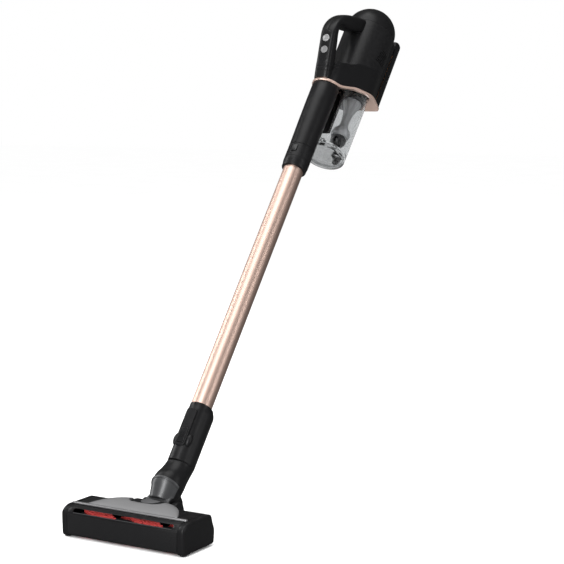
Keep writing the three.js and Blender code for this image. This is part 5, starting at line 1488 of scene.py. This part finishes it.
class LookSettings(bpy.types.PropertyGroup):
    black: FloatVectorProperty(name="Black", description="Black mouldings", subtype="COLOR",
                               default=(0.0055, 0.0055, 0.006), min=0, max=1)
    silver: FloatVectorProperty(name="Silver Grey", description="Paint of the head's cover and bar",
                                subtype="COLOR", default=(0.3, 0.3, 0.305), min=0, max=1)
    rose_gold: FloatVectorProperty(name="Rose Gold", description="Anodised wand and trim plate",
                                   subtype="COLOR",
                                   default=(0.9, 0.66, 0.56), min=0, max=1)
    smoke: FloatVectorProperty(name="Smoke", description="Tint of the clear dust cup", subtype="COLOR",
                               default=(0.7, 0.71, 0.715), min=0, max=1)
    bristle: FloatVectorProperty(name="Bristle", description="Brush pile", subtype="COLOR",
                                 default=(0.88, 0.05, 0.045), min=0, max=1)


class HeadSettings(bpy.types.PropertyGroup):
    dome_width: FloatProperty(name="Dome Width", description="Silver-grey cover, across the head",
                              default=0.19, unit="LENGTH")
    dome_height: FloatProperty(name="Dome Height", description="Rise of the silver-grey cover above the head",
                               default=0.0078, unit="LENGTH")


class BrushSettings(bpy.types.PropertyGroup):
    bristle_reach: FloatProperty(name="Bristle Reach", description="From the roller's axis to the tips",
                                 default=0.0236, unit="LENGTH")
    tuft_columns: IntProperty(name="Tuft Columns", description="Tufts along each strip", default=64, min=8,
                              max=120)
    tuft_rows: IntProperty(name="Tuft Rows", description="Tufts across each strip", default=9, min=2, max=16)


class StageSettings(bpy.types.PropertyGroup):
    ambient: FloatProperty(name="Ambient", description="Strength of the surrounding light", default=1.0,
                           min=0)
    mirrored: FloatProperty(name="Mirrored", description="Strength of the surroundings in reflections",
                            default=0.08, min=0)
    light_power: FloatProperty(name="Light Power", description="Power of the key light", default=78.0,
                               unit="POWER")


OPERATORS = (Materials, HeadShell, HeadDome, HeadRunningGear, BrushRoller, Neck, Wand, BodyShell, Handle,
             MotorHousing,
             IntakeBarrel, DustCup, Battery, InnerParts, Stage)
SETTINGS = {"vacuum_looks": LookSettings, "vacuum_head": HeadSettings, "vacuum_brush": BrushSettings,
            "vacuum_stage": StageSettings}


class VacuumPanel(bpy.types.Panel):
    """Lists the vacuum's settings and the steps that build it"""
    bl_idname = "VIEW3D_PT_vacuum"
    bl_label = "Stick Vacuum"
    bl_space_type = "VIEW_3D"
    bl_region_type = "UI"
    bl_category = "Vacuum"

    def draw(self, context):
        for name, group in SETTINGS.items():
            settings = getattr(context.scene, name)
            for key in group.__annotations__:
                self.layout.prop(settings, key)
        for operator in OPERATORS:
            self.layout.operator(operator.bl_idname)


def register():
    for item in (*SETTINGS.values(), *OPERATORS, VacuumPanel):
        bpy.utils.register_class(item)
    for name, group in SETTINGS.items():
        setattr(bpy.types.Scene, name, PointerProperty(type=group))


def unregister():
    for name in SETTINGS:
        delattr(bpy.types.Scene, name)
    for item in reversed((*SETTINGS.values(), *OPERATORS, VacuumPanel)):
        bpy.utils.unregister_class(item)


def main():
    register()
    for operator in OPERATORS:
        group, name = operator.bl_idname.split(".")
        result = getattr(getattr(bpy.ops, group), name)()
        if result != {"FINISHED"}:
            raise RuntimeError(f"{operator.bl_label} did not finish")


if __name__ == "__main__":
    main()
